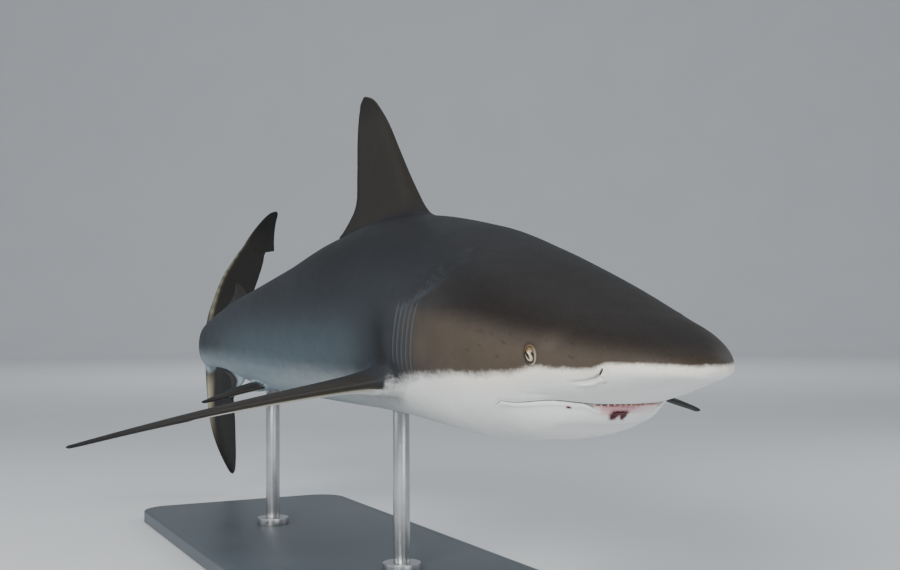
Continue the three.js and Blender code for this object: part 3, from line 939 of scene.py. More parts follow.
def select_all(obj: Piece) -> None:
    """Open an object for editing with all of it selected."""
    select_only(obj, Part.POINT, np.zeros(len(obj.data.vertices), bool))
    bpy.ops.mesh.select_all(action="SELECT")


def leave() -> None:
    """Go back from editing."""
    bpy.ops.object.mode_set(mode="OBJECT")


def modify(obj: Piece, kind: str, **settings: Any) -> None:
    """Put a modifier on an object and apply it.

    Args:
        obj: the object.
        kind: the modifier's type.
        **settings: its properties.
    """
    activate(obj)
    modifier = obj.modifiers.new("change", kind)
    for key, value in settings.items():
        setattr(modifier, key, value)
    bpy.ops.object.modifier_apply(modifier="change")


def refine(obj: Piece, mask: Array) -> None:
    """Halve the cells of some faces.

    Args:
        obj: the object.
        mask: one truth value for each face.
    """
    select_only(obj, Part.FACE, mask)
    bpy.ops.mesh.subdivide(number_cuts=1, ngon=True)
    leave()


def contour(obj: Piece, values: Array, levels: Sequence[float],
            reach: float) -> None:
    """Cut an unrolled surface along the contours of a value.

    Args:
        obj: the surface, laid flat in its first two coordinates.
        values: one value for each point; it becomes the third coordinate.
        levels: the contours.
        reach: faces whose value is further than this from 0 are left whole.
    """
    points = coords(obj)
    points[:, 2] = values
    set_coords(obj, points)
    select_only(obj, Part.FACE, np.abs(centres(obj)[:, 2]) < reach)
    bpy.ops.mesh.hide(unselected=True)
    for level in levels:
        bpy.ops.mesh.select_all(action="SELECT")
        bpy.ops.mesh.bisect(plane_co=(0, 0, level), plane_no=(0, 0, 1), threshold=CUT_SNAP)
    bpy.ops.mesh.reveal(select=False)
    leave()


def unrolled(name: str, columns: Array, rows: Array) -> Piece:
    """Make a flat grid whose lines lie at given values.

    Args:
        name: the object's name.
        columns: values of the first coordinate.
        rows: values of the second.

    Returns:
        The object.
    """
    nx, ny = len(columns) - 1, len(rows) - 1
    bpy.ops.mesh.primitive_grid_add(x_subdivisions=nx, y_subdivisions=ny, size=2)
    obj = bpy.context.object
    obj.name = name
    points = coords(obj)
    i = np.round((points[:, 0] + 1) / 2 * nx).astype(int)
    j = np.round((points[:, 1] + 1) / 2 * ny).astype(int)
    set_coords(obj, np.stack([columns[i], rows[j], np.zeros(len(i))], 1))
    return obj


def tube(name: str, along: int, around: int) -> Piece:
    """Make a flat grid that a form can be wrapped from.

    Args:
        name: the object's name.
        along: how many lines it has from 0 to 1.
        around: how many lines it has from 0 to a full turn.

    Returns:
        The object.
    """
    return unrolled(name, np.linspace(0, 1, along), np.linspace(0, 2 * math.pi, around))


def close_up(obj: Piece) -> None:
    """Weld the seam of a wrapped grid, fill its ends and turn its faces outward."""
    select_all(obj)
    bpy.ops.mesh.remove_doubles(threshold=WELD)
    bpy.ops.mesh.fill_holes(sides=0)
    bpy.ops.mesh.select_all(action="SELECT")
    bpy.ops.mesh.normals_make_consistent(inside=False)
    leave()


def write_attribute(obj: Piece, name: str, values: Array) -> None:
    """Store a value or vector on each point.

    Args:
        obj: the object.
        name: the attribute's name.
        values: one number or three for each point.
    """
    kind, key = ("FLOAT", "value") if values.ndim == 1 else ("FLOAT_VECTOR", "vector")
    layer = obj.data.attributes.new(name, kind, "POINT")
    layer.data.foreach_set(key, np.ascontiguousarray(values, np.float32).ravel())


# ------------------------------------------------------------------ fins
@dataclass(frozen=True)
class FinPlan:
    """A fin's outline and its greatest thickness at root and tip.

    Each row of the outline is a height over the root, and where the leading and the trailing edge
    are at that height, tailward from the fin's station.
    """

    name: str
    at: float
    thick: tuple[float, float]
    outline: tuple[tuple[float, float, float], ...]
    spacing: float
    around: int
    flare: float = 0.0
    flare_reach: float = 0.6
    flare_from: float = 0.0
    side: float = 0.0
    tip: float = 0.45


FIRST_DORSAL = FinPlan(
    "first_dorsal", 30, (2.3, 0.45), (
        (-1.6, -0.9, 10.8), (-0.3, -0.6, 11), (0.1, -0.2, 11.3), (0.3, 0.15, 14.4),
        (0.75, 0.62, 13.5), (1.55, 1.28, 12.25), (2.25, 1.85, 11.4), (3.2, 2.6, 11),
        (5.5, 4.25, 10.93), (8, 6.05, 10.85), (9.2, 7.2, 10.62), (10, 8.1, 10.42),
        (10.45, 8.85, 10.2), (10.68, 9.35, 9.95),
    ), 0.32, 56, flare=0.55, flare_reach=0.75)
SECOND_DORSAL = FinPlan(
    "second_dorsal", 63, (0.9, 0.25), (
        (-0.8, -0.2, 3.6), (0.1, 0, 3.7), (0.25, 0.2, 6.6), (0.6, 0.6, 5.2), (1.1, 1.25, 3.9),
        (1.6, 2.0, 3.45), (2.0, 2.7, 3.35), (2.15, 3.1, 3.3),
    ), 0.16, 36, flare=0.25, flare_reach=0.3, tip=0.12)
ANAL = FinPlan(
    "anal", 63.4, (0.9, 0.25), (
        (-0.8, -0.2, 3.6), (0.1, 0, 3.8), (0.25, 0.3, 6.4), (0.8, 0.95, 4.6), (1.5, 2.1, 4.0),
        (2.2, 3.1, 4.05), (2.8, 3.7, 4.35), (3.0, 4.05, 4.3),
    ), 0.18, 36, flare=0.25, flare_reach=0.3, tip=0.15)
PECTORAL = FinPlan(
    "pectoral", 22.2, (1.6, 0.22), (
        (-1.6, -0.6, 6.6), (0.2, -0.3, 6.6), (1.2, 0.05, 6.9), (2.0, 0.4, 10.1),
        (2.8, 0.75, 10.8), (4, 1.3, 9.9), (6.5, 2.45, 9.0), (9.5, 3.95, 8.9), (12.5, 5.6, 9.5),
        (15.5, 7.5, 10.7), (17.7, 9.2, 11.6), (18.6, 10.4, 11.8),
    ), 0.36, 52, flare=0.5, flare_reach=0.8, flare_from=1.3, side=5, tip=0.6)
PELVIC = FinPlan(
    "pelvic", 52.3, (0.9, 0.25), (
        (-0.9, -0.3, 5.2), (0.2, 0, 5.3), (0.5, 0.2, 7.7), (1.2, 0.7, 7.3), (2.4, 1.7, 6.4),
        (3.6, 2.8, 5.9), (4.4, 3.7, 5.6), (4.7, 4.4, 5.3),
    ), 0.24, 36, flare=0.25, flare_reach=0.45, flare_from=0.3, side=2.2, tip=0.25)
CAUDAL = FinPlan(
    "caudal", 75, (1.9, 0.3), (
        (-14.1, 8.9, 9.35), (-13.5, 8.1, 9.6), (-12.4, 6.8, 9.55), (-10.4, 4.65, 9.25),
        (-8, 2.5, 8.85), (-6, 1.2, 8.4), (-4, 0.45, 8.1), (-2.4, 0.0, 7.8), (-1.2, -0.6, 7.6),
        (0.4, -1.0, 7.9), (1.6, -0.6, 8.8), (2.9, 1.2, 10.2), (4.5, 3.3, 12), (7, 5.9, 14.1),
        (9.5, 9.4, 15.9), (10.7, 11.2, 16.6), (10.95, 11.6, 18.5), (12, 12.9, 18.6),
        (14.1, 15.9, 19.2), (15.4, 18.2, 19.9), (15.8, 19.3, 20.1),
    ), 0.4, 52, tip=0.35)
CAUDAL_LAG = 0.06
TRAILING_EDGE = 0.6  # half the edge's thickness, in millimetres


@dataclass(frozen=True)
class Hold:
    """How a paired fin is held: level of the root, droop at root and tip, rake and sweep."""

    up: float
    droop: tuple[float, float]
    rake: float
    sweep: float


HOLDS = {
    ("pectoral", 1): Hold(-1.0, (6.7, 16), -3.7, 5),
    ("pectoral", -1): Hold(-1.25, (6.8, 17), 3.2, -9),
    ("pelvic", 1): Hold(-2.75, (16, 16), -4, -8),
    ("pelvic", -1): Hold(-2.75, (16, 16), -4, -8),
}


class Tone(Enum):
    """How a fin is coloured."""

    DARK = "dark all over"
    TWO_SIDED = "dark above and pale below"
    DUSKY = "pale in front and dusky behind"
    TAIL = "dark, with pale leading edges near the root"


class Fin:
    """One fin's closed mesh, with its colour marks."""

    CREST, TAPER, STOUTEST = 0.28, 1.4, 0.28
    EDGE_ROUND, NOSE_ROUND = 0.004, 0.002
    FULL = 6.0  # the tone of a dark fin

    def __init__(self, plan: FinPlan, tone: Tone, put: Callable[..., Array]) -> None:
        """Keep the fin's plan.

        Args:
            plan: its sizes.
            tone: its colouring.
            put: turns tailward, height and thickness measures into points.
        """
        self.plan = plan
        self.tone = tone
        self.put = put
        self.lead, self.trail = column(plan.outline, 1), column(plan.outline, 2)

    def heights(self) -> Array:
        """Heights of the rings, closest where the outline turns."""
        marks = [row[0] for row in self.plan.outline]
        out = [np.linspace(a, b, max(2, math.ceil((b - a) / self.plan.spacing)) + 1)[:-1]
               for a, b in zip(marks, marks[1:])]
        rounding = self.plan.tip * (1 - np.sin(np.linspace(0.2, 1, 6) * math.pi / 2))
        out.append(marks[-1] - rounding)
        if self.plan is CAUDAL:
            out.append(marks[0] + rounding)
        return np.unique(np.round(np.concatenate(out), 5))

    def build(self) -> tuple[Piece, dict[str, Array]]:
        """Make the mesh.

        Returns:
            The object, and its marks by name for each point before welding.
        """
        plan, low, high = self.plan, self.plan.outline[0][0], self.plan.outline[-1][0]
        heights = self.heights()
        obj = unrolled(plan.name, np.linspace(0, 1, plan.around + 1), heights)
        w, h = coords(obj)[:, 0], coords(obj)[:, 1]
        front, rear = self.lead(h), self.trail(h)
        shrink = np.sqrt(np.clip(1 - (np.clip((h - high) / plan.tip + 1, 0, 1)) ** 2, 0, 1))
        if plan is CAUDAL:
            shrink *= np.sqrt(np.clip(1 - (np.clip((low - h) / plan.tip + 1, 0, 1)) ** 2, 0, 1))
        middle = (front + rear) / 2
        front, rear = middle + (front - middle) * shrink, middle + (rear - middle) * shrink
        chord = rear - front
        u = (1 - np.cos(2 * math.pi * w)) / 2
        sign = np.where(w < 0.5, 1.0, -1.0)
        grown = np.sin(math.pi / 2 * np.sqrt(np.clip(u / self.CREST, 0, 1)))
        thinned = 1 - np.clip((u - self.CREST) / (1 - self.CREST), 0, 1) ** self.TAPER
        full = np.where(u < self.CREST, grown, thinned)
        peak = max(abs(low), abs(high))
        fade = np.sqrt(np.clip(np.abs(h) / peak, 0, 1))
        depth = (plan.thick[0] * (1 - fade) + plan.thick[1] * fade) / 2
        root = np.clip(h - plan.flare_from, 0, 99) / plan.flare_reach
        depth = depth + plan.flare * np.exp(-root * 1.6) * (1 - 0.65 * u)
        half = np.minimum(depth, chord * self.STOUTEST)
        edge = TRAILING_EDGE * MM / PERCENT * np.sqrt(np.clip((1 - u) / self.EDGE_ROUND, 0, 1))
        nose = np.clip(u / self.NOSE_ROUND, 0, 1)
        off = sign * np.where(u > 0.5, np.maximum(edge, half * full), half * full * np.sqrt(nose))
        off = off * np.minimum(1, shrink * 1.6)
        rough = 0.028 * np.sin(h * 9.1 + 1.3) + 0.02 * np.sin(h * 23.7) * np.sin(h * 3.1)
        wear = rough * np.clip((u - 0.8) / 0.2, 0, 1) ** 2 * (h > 0.9) * shrink
        set_coords(obj, self.put(front + chord * u - np.abs(wear), h, off))
        return obj, self.marks(h, u, sign, front)

    def marks(self, h: Array, u: Array, sign: Array, front: Array) -> dict:
        """Colour marks.

        Args:
            h: heights.
            u: shares of the chord.
            sign: 1 on the upper or right face, -1 on the other.
            front: the leading edge's place.

        Returns:
            Tone, and a vector of fin share, dark tip and pale edge.
        """
        high = self.plan.outline[-1][0]
        part = np.clip(h, 0, high) / high
        mask = smooth_step((h - self.plan.flare_from) / (0.06 * high + 0.3))
        tip = smooth_step((part - 0.72) / 0.28)
        rim = np.zeros_like(h)
        if self.tone is Tone.DARK:
            tone = np.full_like(h, self.FULL)
            tip = np.maximum(tip * 0.7, smooth_step((u - 0.9) / 0.1) * 0.8)
        elif self.tone is Tone.TWO_SIDED:
            under = smooth_step((u - 0.04) / 0.02) * smooth_step((1 - u) / 0.012) * (sign < 0)
            tone = self.FULL - 2 * self.FULL * under * smooth_step((0.74 - part) / 0.2)
            tip = np.maximum(tip, smooth_step((u - 0.86) / 0.14) * 0.7)
            rim = hump(u - 0.065, 0.03) * (sign < 0) * (1 - smooth_step((part - 0.4) / 0.25))
        elif self.tone is Tone.DUSKY:
            tone = -1.6 + 5.5 * smooth_step(u * 1.3 + 0.5 * part)
        else:
            reach = np.abs(h)
            mask = smooth_step((front + u * 5 + reach - 1.5) / 4.0)
            tone = np.full_like(h, self.FULL)
            tip = np.maximum(smooth_step((reach - 10.5) / 4), smooth_step((u - 0.93) / 0.07) * 0.6)
            beads = 0.5 + 0.5 * np.sin(h * 8.5 + 0.8 * np.sin(h * 2.3))
            upper = hump(u, 0.02) * (0.25 + 0.75 * beads) * (h > 1.5)
            upper = upper * (1 - smooth_step((h - 8) / 6))
            lower = hump(u, 0.06) * (h < 0) * (1 - smooth_step((reach - 4) / 7))
            rim = np.maximum(upper * 0.6, lower)
        return {"tone": tone, "fin": np.stack([mask, tip, rim], 1)}


def median_put(body: Body, plan: FinPlan, way: int) -> Callable[..., Array]:
    """Where a fin on the middle of the back or belly lies.

    Args:
        body: the smooth form.
        plan: the fin's sizes.
        way: 1 upwards and -1 downwards.

    Returns:
        The placing function.
    """
    root = body.back if way > 0 else body.belly
    run = plan.outline[1][2]
    first, last = float(root(plan.at)), float(root(plan.at + run))

    def put(tailward: Array, height: Array, off: Array) -> Array:
        """Place the fin's points."""
        base = first + (last - first) * np.maximum(0, tailward) / run
        return body.spine.place(plan.at + tailward, off, base + way * height)

    return put


def paired_put(spine: Spine, plan: FinPlan, hold: Hold, sign: int) -> Callable[..., Array]:
    """Where a fin of a pair lies.

    Args:
        spine: the backbone.
        plan: the fin's sizes.
        hold: how it is held.
        sign: 1 on the right and -1 on the left.

    Returns:
        The placing function.
    """
    station = np.array([float(plan.at)])
    tail, right = (v[0] for v in spine.directions(station))
    root = spine.place(station, np.array([sign * plan.side]), np.array([hold.up]))[0]
    reach = plan.outline[-1][0]
    sweep, rake = math.radians(hold.sweep), math.radians(hold.rake)
    chord = tail * math.cos(rake) + UP * math.sin(rake)
    near, far = (math.radians(v) for v in hold.droop)

    def put(tailward: Array, height: Array, off: Array) -> Array:
        """Place the fin's points."""
        share = np.maximum(0, height) / reach
        droop = near + (far - near) * share * 0.5
        turn = near + (far - near) * share
        outward = right * (sign * np.cos(droop))[:, None] - UP * np.sin(droop)[:, None]
        normal = right * (sign * np.sin(turn))[:, None] + UP * np.cos(turn)[:, None]
        out = root + outward * (height * math.cos(sweep) * PERCENT)[:, None]
        out = out + chord * ((tailward + height * math.sin(sweep)) * PERCENT)[:, None]
        return out + normal * (off * PERCENT)[:, None]

    return put


def caudal_put(spine: Spine) -> Callable[..., Array]:
    """Where the tail fin lies: its membrane trails as the tail swings."""
    lead = column(CAUDAL.outline, 1)

    def put(tailward: Array, height: Array, off: Array) -> Array:
        """Place the fin's points."""
        lag = CAUDAL_LAG * np.maximum(0, tailward - np.maximum(0, lead(height)))
        return spine.place(CAUDAL.at + tailward, off - lag, height)

    return put


# ------------------------------------------------------------------ the skin
class Hide:
    """The one skin of body and fins."""

    STATIONS = ((0.06, 0.35, 2), (0.35, 1, 3), (1, 12, 37), (12, 16.7, 10), (16.7, 23.1, 16),
                (23.1, 78, 88))
    TURNS = 84
    # Zones that are made finer: from and to station, from and to angle off the back in degrees.
    ZONES = ((28.5, 46.5, 0, 17), (20, 35, 95, 142), (51, 61.5, 112, 168), (62, 70.5, 0, 30),
             (62.5, 71, 150, 180), (71, 78.1, 0, 180))
    HEAD_END, HEAD_TOP = 24.0, 46.0
    # The gills' zone: from and to station, from and to level.
    GILLS = (17.8, 22.6, -1.6, 4.2)
    CREASE_WEIGHT = 1.6  # a crease counts as this many times further off than a slit

    def __init__(self, body: Body) -> None:
        """List the folds.

        Args:
            body: the smooth form.
        """
        self.body = body
        self.eyes = [EyeFold(body, 1), EyeFold(body, -1)]
        self.mouth = MouthFold(body)
        nostrils = [NostrilFold(body, 1), NostrilFold(body, -1)]
        gills = [GillFold(k) for k in range(GillFold.COUNT)]
        self.close = [self.mouth, *self.eyes, *nostrils]
        self.folds = [*self.close, *gills, SoftRelief()]

    def lay_out(self) -> Piece:
        """Make the unrolled skin, fine where there are folds and cut along their lines."""
        lines = [np.linspace(a, b, n + 1)[:-1] for a, b, n in self.STATIONS]
        stations = np.concatenate([*lines, [BODY_ENDS[1]]])
        obj = unrolled("shark_skin", stations, np.linspace(0, 2 * math.pi, self.TURNS + 1))
        at, off = centres(obj)[:, 0], off_back(centres(obj)[:, 1])
        mask = (at < self.HEAD_END) & (off > self.HEAD_TOP)
        for a, b, low, high in self.ZONES:
            mask |= (at > a) & (at < b) & (off >= low) & (off <= high)
        refine(obj, mask)
        for level in (0, 1):
            spots = centres(obj)
            field = Field(self.body, spots[:, 0], spots[:, 1])
            mask = np.zeros(field.count, bool)
            for fold in self.close:
                mask |= self.gap(fold, field) < fold.fine[level]
            if level == 0:
                first, last, low, high = self.GILLS
                slits = (field.at > first) & (field.at < last)
                mask |= slits & (field.up > low) & (field.up < high)
            mask &= field.at < self.HEAD_END - 0.5
            mask &= off_back(spots[:, 1]) > self.HEAD_TOP + 4
            refine(obj, mask)
        for fold in self.folds:
            if fold.cuts:
                flat = coords(obj)
                value = fold.measure(Field(self.body, flat[:, 0], flat[:, 1]))
                contour(obj, value, fold.cuts, fold.reach)
        return obj

    @staticmethod
    def gap(fold: Fold, field: Field) -> Array:
        """Distance of points from a fold, in millimetres.

        Args:
            fold: the fold.
            field: the points.

        Returns:
            The distances.
        """
        if isinstance(fold, MouthFold):
            return np.abs(fold.nearest(field)[1])
        if isinstance(fold, EyeFold):
            _, _, share, far = fold.radial(field)
            return np.where(share >= FAR, FAR * 2, far)
        slit, _, crease, *_ = fold.places(field)
        return np.minimum(slit, crease * Hide.CREASE_WEIGHT)

    def build(self) -> tuple[Piece, dict[str, Array]]:
        """Wrap the skin round the body and push its folds in and out.

        Returns:
            The object and its marks by name.
        """
        obj = self.lay_out()
        flat = coords(obj)
        field = Field(self.body, flat[:, 0], flat[:, 1])
        marks = {mark: np.zeros(field.count) for mark in Mark}
        points = field.point.copy()
        for fold in self.folds:
            points += fold.push(field, marks)
        set_coords(obj, points)
        out = {name: np.zeros((field.count, 3)) for name in ("fold", "lid", "gill_shade_brown", "fin")}
        for mark, values in marks.items():
            name, part = mark.value
            out[name][:, part] = values
        out["form"] = np.stack([field.at, field.side, field.up], 1)
        out["tone"] = tone_at(field.at, field.up)
        out["point"] = points
        return obj, out


class SkinUnion:
    """Joins body and fins into one skin and carries their marks over."""

    SEAM = 0.00003
    ROUNDS = (6, 5, 4)

    def __init__(self, spine: Spine) -> None:
        """Start with nothing.

        Args:
            spine: the backbone.
        """
        self.spine = spine
        self.sources: list[dict[str, Array]] = []

    def add_fin(self, fin: Fin) -> Piece:
        """Build a fin and remember its marks.

        Args:
            fin: the fin.

        Returns:
            The fin's object.
        """
        obj, marks = fin.build()
        points = coords(obj)
        form = self.spine.measure(points)
        blank = np.zeros((len(points), 3))
        mask = marks["fin"][:, 0]
        tone = tone_at(form[:, 0], form[:, 2]) * (1 - mask) + marks["tone"] * mask
        self.sources.append({
            "fold": blank, "lid": blank, "gill_shade_brown": blank, "fin": marks["fin"], "form": form,
            "tone": tone, "point": points})
        close_up(obj)
        return obj

    def join(self, skin: Piece, marks: dict[str, Array],
             fins: Sequence[Piece]) -> Piece:
        """Unite the skin with the fins, smooth the seams and write the marks.

        Args:
            skin: the body's skin.
            marks: its marks.
            fins: the fins' objects.

        Returns:
            The finished skin.
        """
        close_up(skin)
        activate(fins[0])
        for fin in fins:
            fin.select_set(True)
        bpy.ops.object.join()
        before = len(skin.data.vertices)
        modify(skin, "BOOLEAN", operation="UNION", solver="MANIFOLD", object=fins[0])
        after = len(skin.data.vertices)
        LOG.info("skin %d points before the union and %d after", before, after)
        if after <= before:
            raise RuntimeError("the fins were not joined to the body")
        bpy.data.objects.remove(fins[0])
        parts = [marks, *self.sources]
        gathered = {key: np.concatenate([part[key] for part in parts]) for key in marks}
        nearest, gap = self.match(coords(skin), gathered.pop("point"))
        for key, values in gathered.items():
            write_attribute(skin, key, values[nearest])
        self.smooth(skin, gap > self.SEAM)
        return skin

    @staticmethod
    def match(points: Array, sources: Array) -> tuple[Array, Array]:
        """Find the nearest source of each point.

        Args:
            points: the points.
            sources: the points they came from.

        Returns:
            Index and distance of each nearest source.
        """
        tree = KDTree(len(sources))
        for i, point in enumerate(sources):
            tree.insert(point, i)
        tree.balance()
        found = [tree.find(point) for point in points]
        return np.array([f[1] for f in found]), np.array([f[2] for f in found])

    @staticmethod
    def smooth(skin: Piece, seam: Array) -> None:
        """Round the seams between body and fins off.

        Args:
            skin: the skin.
            seam: which points are on a seam.
        """
        LOG.info("%d points on the seams", int(seam.sum()))
        select_only(skin, Part.POINT, seam)
        for repeat in SkinUnion.ROUNDS:
            bpy.ops.mesh.select_more()
            bpy.ops.mesh.vertices_smooth(factor=0.5, repeat=repeat)
        leave()


# ------------------------------------------------------------------ eyes, mouth, stand
class Eyeball:
    """A glassy eye in its socket."""

    SEGMENTS, RINGS = 64, 48

    def __init__(self, fold: EyeFold) -> None:
        """Keep the socket.

        Args:
            fold: the eye's socket and lid.
        """
        self.fold = fold

    def build(self, node: str) -> Piece:
        """Make the ball and store where each point lies as seen from the front.

        Args:
            node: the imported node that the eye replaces.

        Returns:
            The eye.
        """
        fold = self.fold
        bpy.ops.mesh.primitive_uv_sphere_add(
            segments=self.SEGMENTS, ring_count=self.RINGS, radius=1)
        obj = bpy.context.object
        obj.name = node + "_glass"
        ball = coords(obj)
        frame_axes = np.stack([fold.patch.back, fold.patch.high, fold.patch.out])
        centre = fold.patch.middle - fold.patch.out * fold.SUNK * MM
        set_coords(obj, centre + ball @ frame_axes * fold.RADIUS * MM)
        write_attribute(obj, "gaze", ball)
        select_all(obj)
        bpy.ops.mesh.normals_make_consistent(inside=False)
        leave()
        bpy.ops.object.shade_smooth()
        return obj


class Teeth:
    """The lower gum's ridge with the small teeth that show in the open front of the mouth."""

    REACH, COUNT = 2.35, 15
    RIDGE = 1.9
    BELOW, DEPTH = 5.4, 3.4
    LENGTH, WIDTH, THICK = 6.0, 3.5, 1.2
    ROOT, SET_BACK, HOOK, SPLAY = 0.4, 1.9, 0.7, 0.35
    WAVES, SEED = 14.3, 11
    RIDGE_GRID, TOOTH_GRID = (121, 29), (13, 17)

    def __init__(self, fold: MouthFold) -> None:
        """Keep the mouth.

        Args:
            fold: the mouth's line and lips.
        """
        self.fold = fold

    def place(self, across: Array, below: Array, depth: Array) -> Array:
        """Turn mouth measures into points.

        Args:
            across: distances from the middle, in per cent.
            below: lengths below the upper lip, in millimetres.
            depth: lengths inward, in millimetres.

        Returns:
            Points in metres.
        """
        fold = self.fold
        rows = [fold.points, np.cross(fold.normals, fold.tangents), fold.inward]
        line, down, inward = (
            np.stack([np.interp(across, fold.across, part[:, k]) for k in range(3)], 1)
            for part in rows
        )
        return line + (down * below[:, None] + inward * depth[:, None]) * MM

    def ridge(self) -> Piece:
        """Make the gum's ridge."""
        obj = tube("gum_and_teeth", *self.RIDGE_GRID)
        run, turn = coords(obj)[:, 0], coords(obj)[:, 1]
        end = np.sqrt(np.clip(1 - (2 * run - 1) ** 8, 0, 1))
        across = (2 * run - 1) * self.REACH
        swell = self.RIDGE * (1 + 0.1 * np.sin(across * self.WAVES)) * end
        below = self.BELOW + np.cos(turn) * swell
        points = self.place(across, below, self.DEPTH + np.sin(turn) * swell * 1.5)
        set_coords(obj, points)
        write_attribute(obj, "enamel", np.zeros(len(points)))
        close_up(obj)
        return obj

    def tooth(self, across: float, scale: float) -> Piece:
        """Make one tooth: a narrow, slightly hooked, flattened point on a wide foot.

        Args:
            across: where it stands.
            scale: its size.

        Returns:
            The tooth.
        """
        obj = tube("tooth", *self.TOOTH_GRID)
        rise, turn = coords(obj)[:, 0], coords(obj)[:, 1]
        taper = (1 - rise) ** 0.72 * (0.55 + 0.45 * (1 - rise) ** 3)
        wide = self.WIDTH / 2 * taper * scale
        thick = self.THICK / 2 * (1 - rise) ** 0.6 * scale
        lean = self.SPLAY * rise ** 2 * np.sign(across + 1e-6)
        side = across + (np.cos(turn) * wide + lean) * MM / PERCENT
        below = self.BELOW - self.ROOT - rise * self.LENGTH * scale
        depth = self.DEPTH - self.SET_BACK + np.sin(turn) * thick + self.HOOK * rise ** 2
        points = self.place(side, below, depth)
        set_coords(obj, points)
        write_attribute(obj, "enamel", smooth_step((rise - 0.08) / 0.12))
        close_up(obj)
        return obj

    def build(self) -> Piece:
        """Make the gum with its teeth as one piece."""
        gum = self.ridge()
        rng = np.random.default_rng(self.SEED)
        spots = np.linspace(-self.REACH * 0.9, self.REACH * 0.9, self.COUNT)
        teeth = [self.tooth(float(s), float(rng.uniform(0.6, 1.0))) for s in spots]
        activate(gum)
        for tooth in teeth:
            tooth.select_set(True)
        bpy.ops.object.join()
        bpy.ops.object.shade_smooth()
        return gum


class Stand:
    """The display stand: a painted board, two rods and their collars."""

    CORNER, EDGE, ROUND = 0.06, 0.003, 14
    CHAMFER, BORE_GAP = 0.0012, 0.0004
    SHARP, SMOOTH = math.radians(50), math.radians(35)
    SCREW_RADIUS, SCREW_LENGTH, SCREW_TURN = 0.0028, 0.02, math.radians(-38)

    def chamfer(self, obj: Piece, width: float, segments: int) -> None:
        """Round an object's sharp edges.

        Args:
            obj: the object.
            width: the size of the rounding in metres.
            segments: faces across it.
        """
        modify(obj, "BEVEL", width=width, segments=segments, limit_method="ANGLE",
               angle_limit=self.SHARP)
        bpy.ops.object.shade_smooth_by_angle(angle=self.SMOOTH)

    def board(self) -> Piece:
        """Make the board with round corners and a softened upper edge."""
        low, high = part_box("stand_base")
        bpy.ops.mesh.primitive_cube_add(size=1)
        obj = bpy.context.object
        obj.name = "stand_board"
        size, middle = high - low, (high + low) / 2
        unit_cube = coords(obj)
        set_coords(obj, unit_cube * np.array(size) + np.array(middle))
        ends = np.array([unit_cube[list(edge.vertices), 2] for edge in obj.data.edges])
        select_only(obj, Part.EDGE, np.abs(ends[:, 0] - ends[:, 1]) > 0.5)
        bpy.ops.mesh.bevel(offset=self.CORNER, segments=self.ROUND, affect="EDGES")
        leave()
        self.chamfer(obj, self.EDGE, 4)
        return obj

    def rod(self, node: str) -> Piece:
        """Make a round rod.

        Args:
            node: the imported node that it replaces.

        Returns:
            The rod.
        """
        low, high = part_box(node)
        radius = (high.x - low.x) / 2
        bpy.ops.mesh.primitive_cylinder_add(
            vertices=64, radius=radius, depth=high.z - low.z)
        obj = bpy.context.object
        obj.name = node + "_steel"
        set_coords(obj, coords(obj) + np.array((low + high) / 2))
        self.chamfer(obj, self.CHAMFER, 3)
        return obj

    def collar(self, node: str, rod: str) -> Piece:
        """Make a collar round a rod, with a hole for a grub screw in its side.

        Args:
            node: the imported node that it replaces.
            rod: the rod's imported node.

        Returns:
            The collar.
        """
        low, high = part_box(node)
        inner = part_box(rod)
        bore = (inner[1].x - inner[0].x) / 2 + self.BORE_GAP
        radius, middle = (high.x - low.x) / 2, (low + high) / 2
        obj = tube(node + "_steel", 5, 97)
        run, turn = np.round(coords(obj)[:, 0] * 4).astype(int), coords(obj)[:, 1]
        radii = np.array([bore, radius, radius, bore, bore])[run]
        heights = np.array([low.z, low.z, high.z, high.z, low.z])[run]
        ring = [np.cos(turn) * radii + middle.x, np.sin(turn) * radii + middle.y, heights]
        set_coords(obj, np.stack(ring, 1))
        select_all(obj)
        bpy.ops.mesh.remove_doubles(threshold=WELD)
        bpy.ops.mesh.normals_make_consistent(inside=False)
        leave()
        bpy.ops.mesh.primitive_cylinder_add(
            vertices=24, radius=self.SCREW_RADIUS, depth=self.SCREW_LENGTH)
        tool = bpy.context.object
        flat = coords(tool)
        c, s = math.cos(self.SCREW_TURN), math.sin(self.SCREW_TURN)
        points = np.stack([
            middle.x + flat[:, 2] * c + radius * c - flat[:, 0] * s,
            middle.y + flat[:, 2] * s + radius * s + flat[:, 0] * c,
            middle.z + flat[:, 1]], 1)
        set_coords(tool, points)
        modify(obj, "BOOLEAN", operation="DIFFERENCE", solver="EXACT", object=tool)
        bpy.data.objects.remove(tool)
        self.chamfer(obj, self.CHAMFER, 3)
        return obj


# ------------------------------------------------------------------ materials
def operator(kind: str, turned: bool = False) -> Callable[..., "Shade"]:
    """Make one of a shade's operators.

    Args:
        kind: what it reckons.
        turned: whether the shade stands behind the sign.

    Returns:
        The operator.
    """
    def reckon(self: "Shade", other: Any) -> "Shade":
        """Reckon with a shade or a number."""
        pair = (other, self) if turned else (self, other)
        return self.paint.math(kind, *pair)

    return reckon


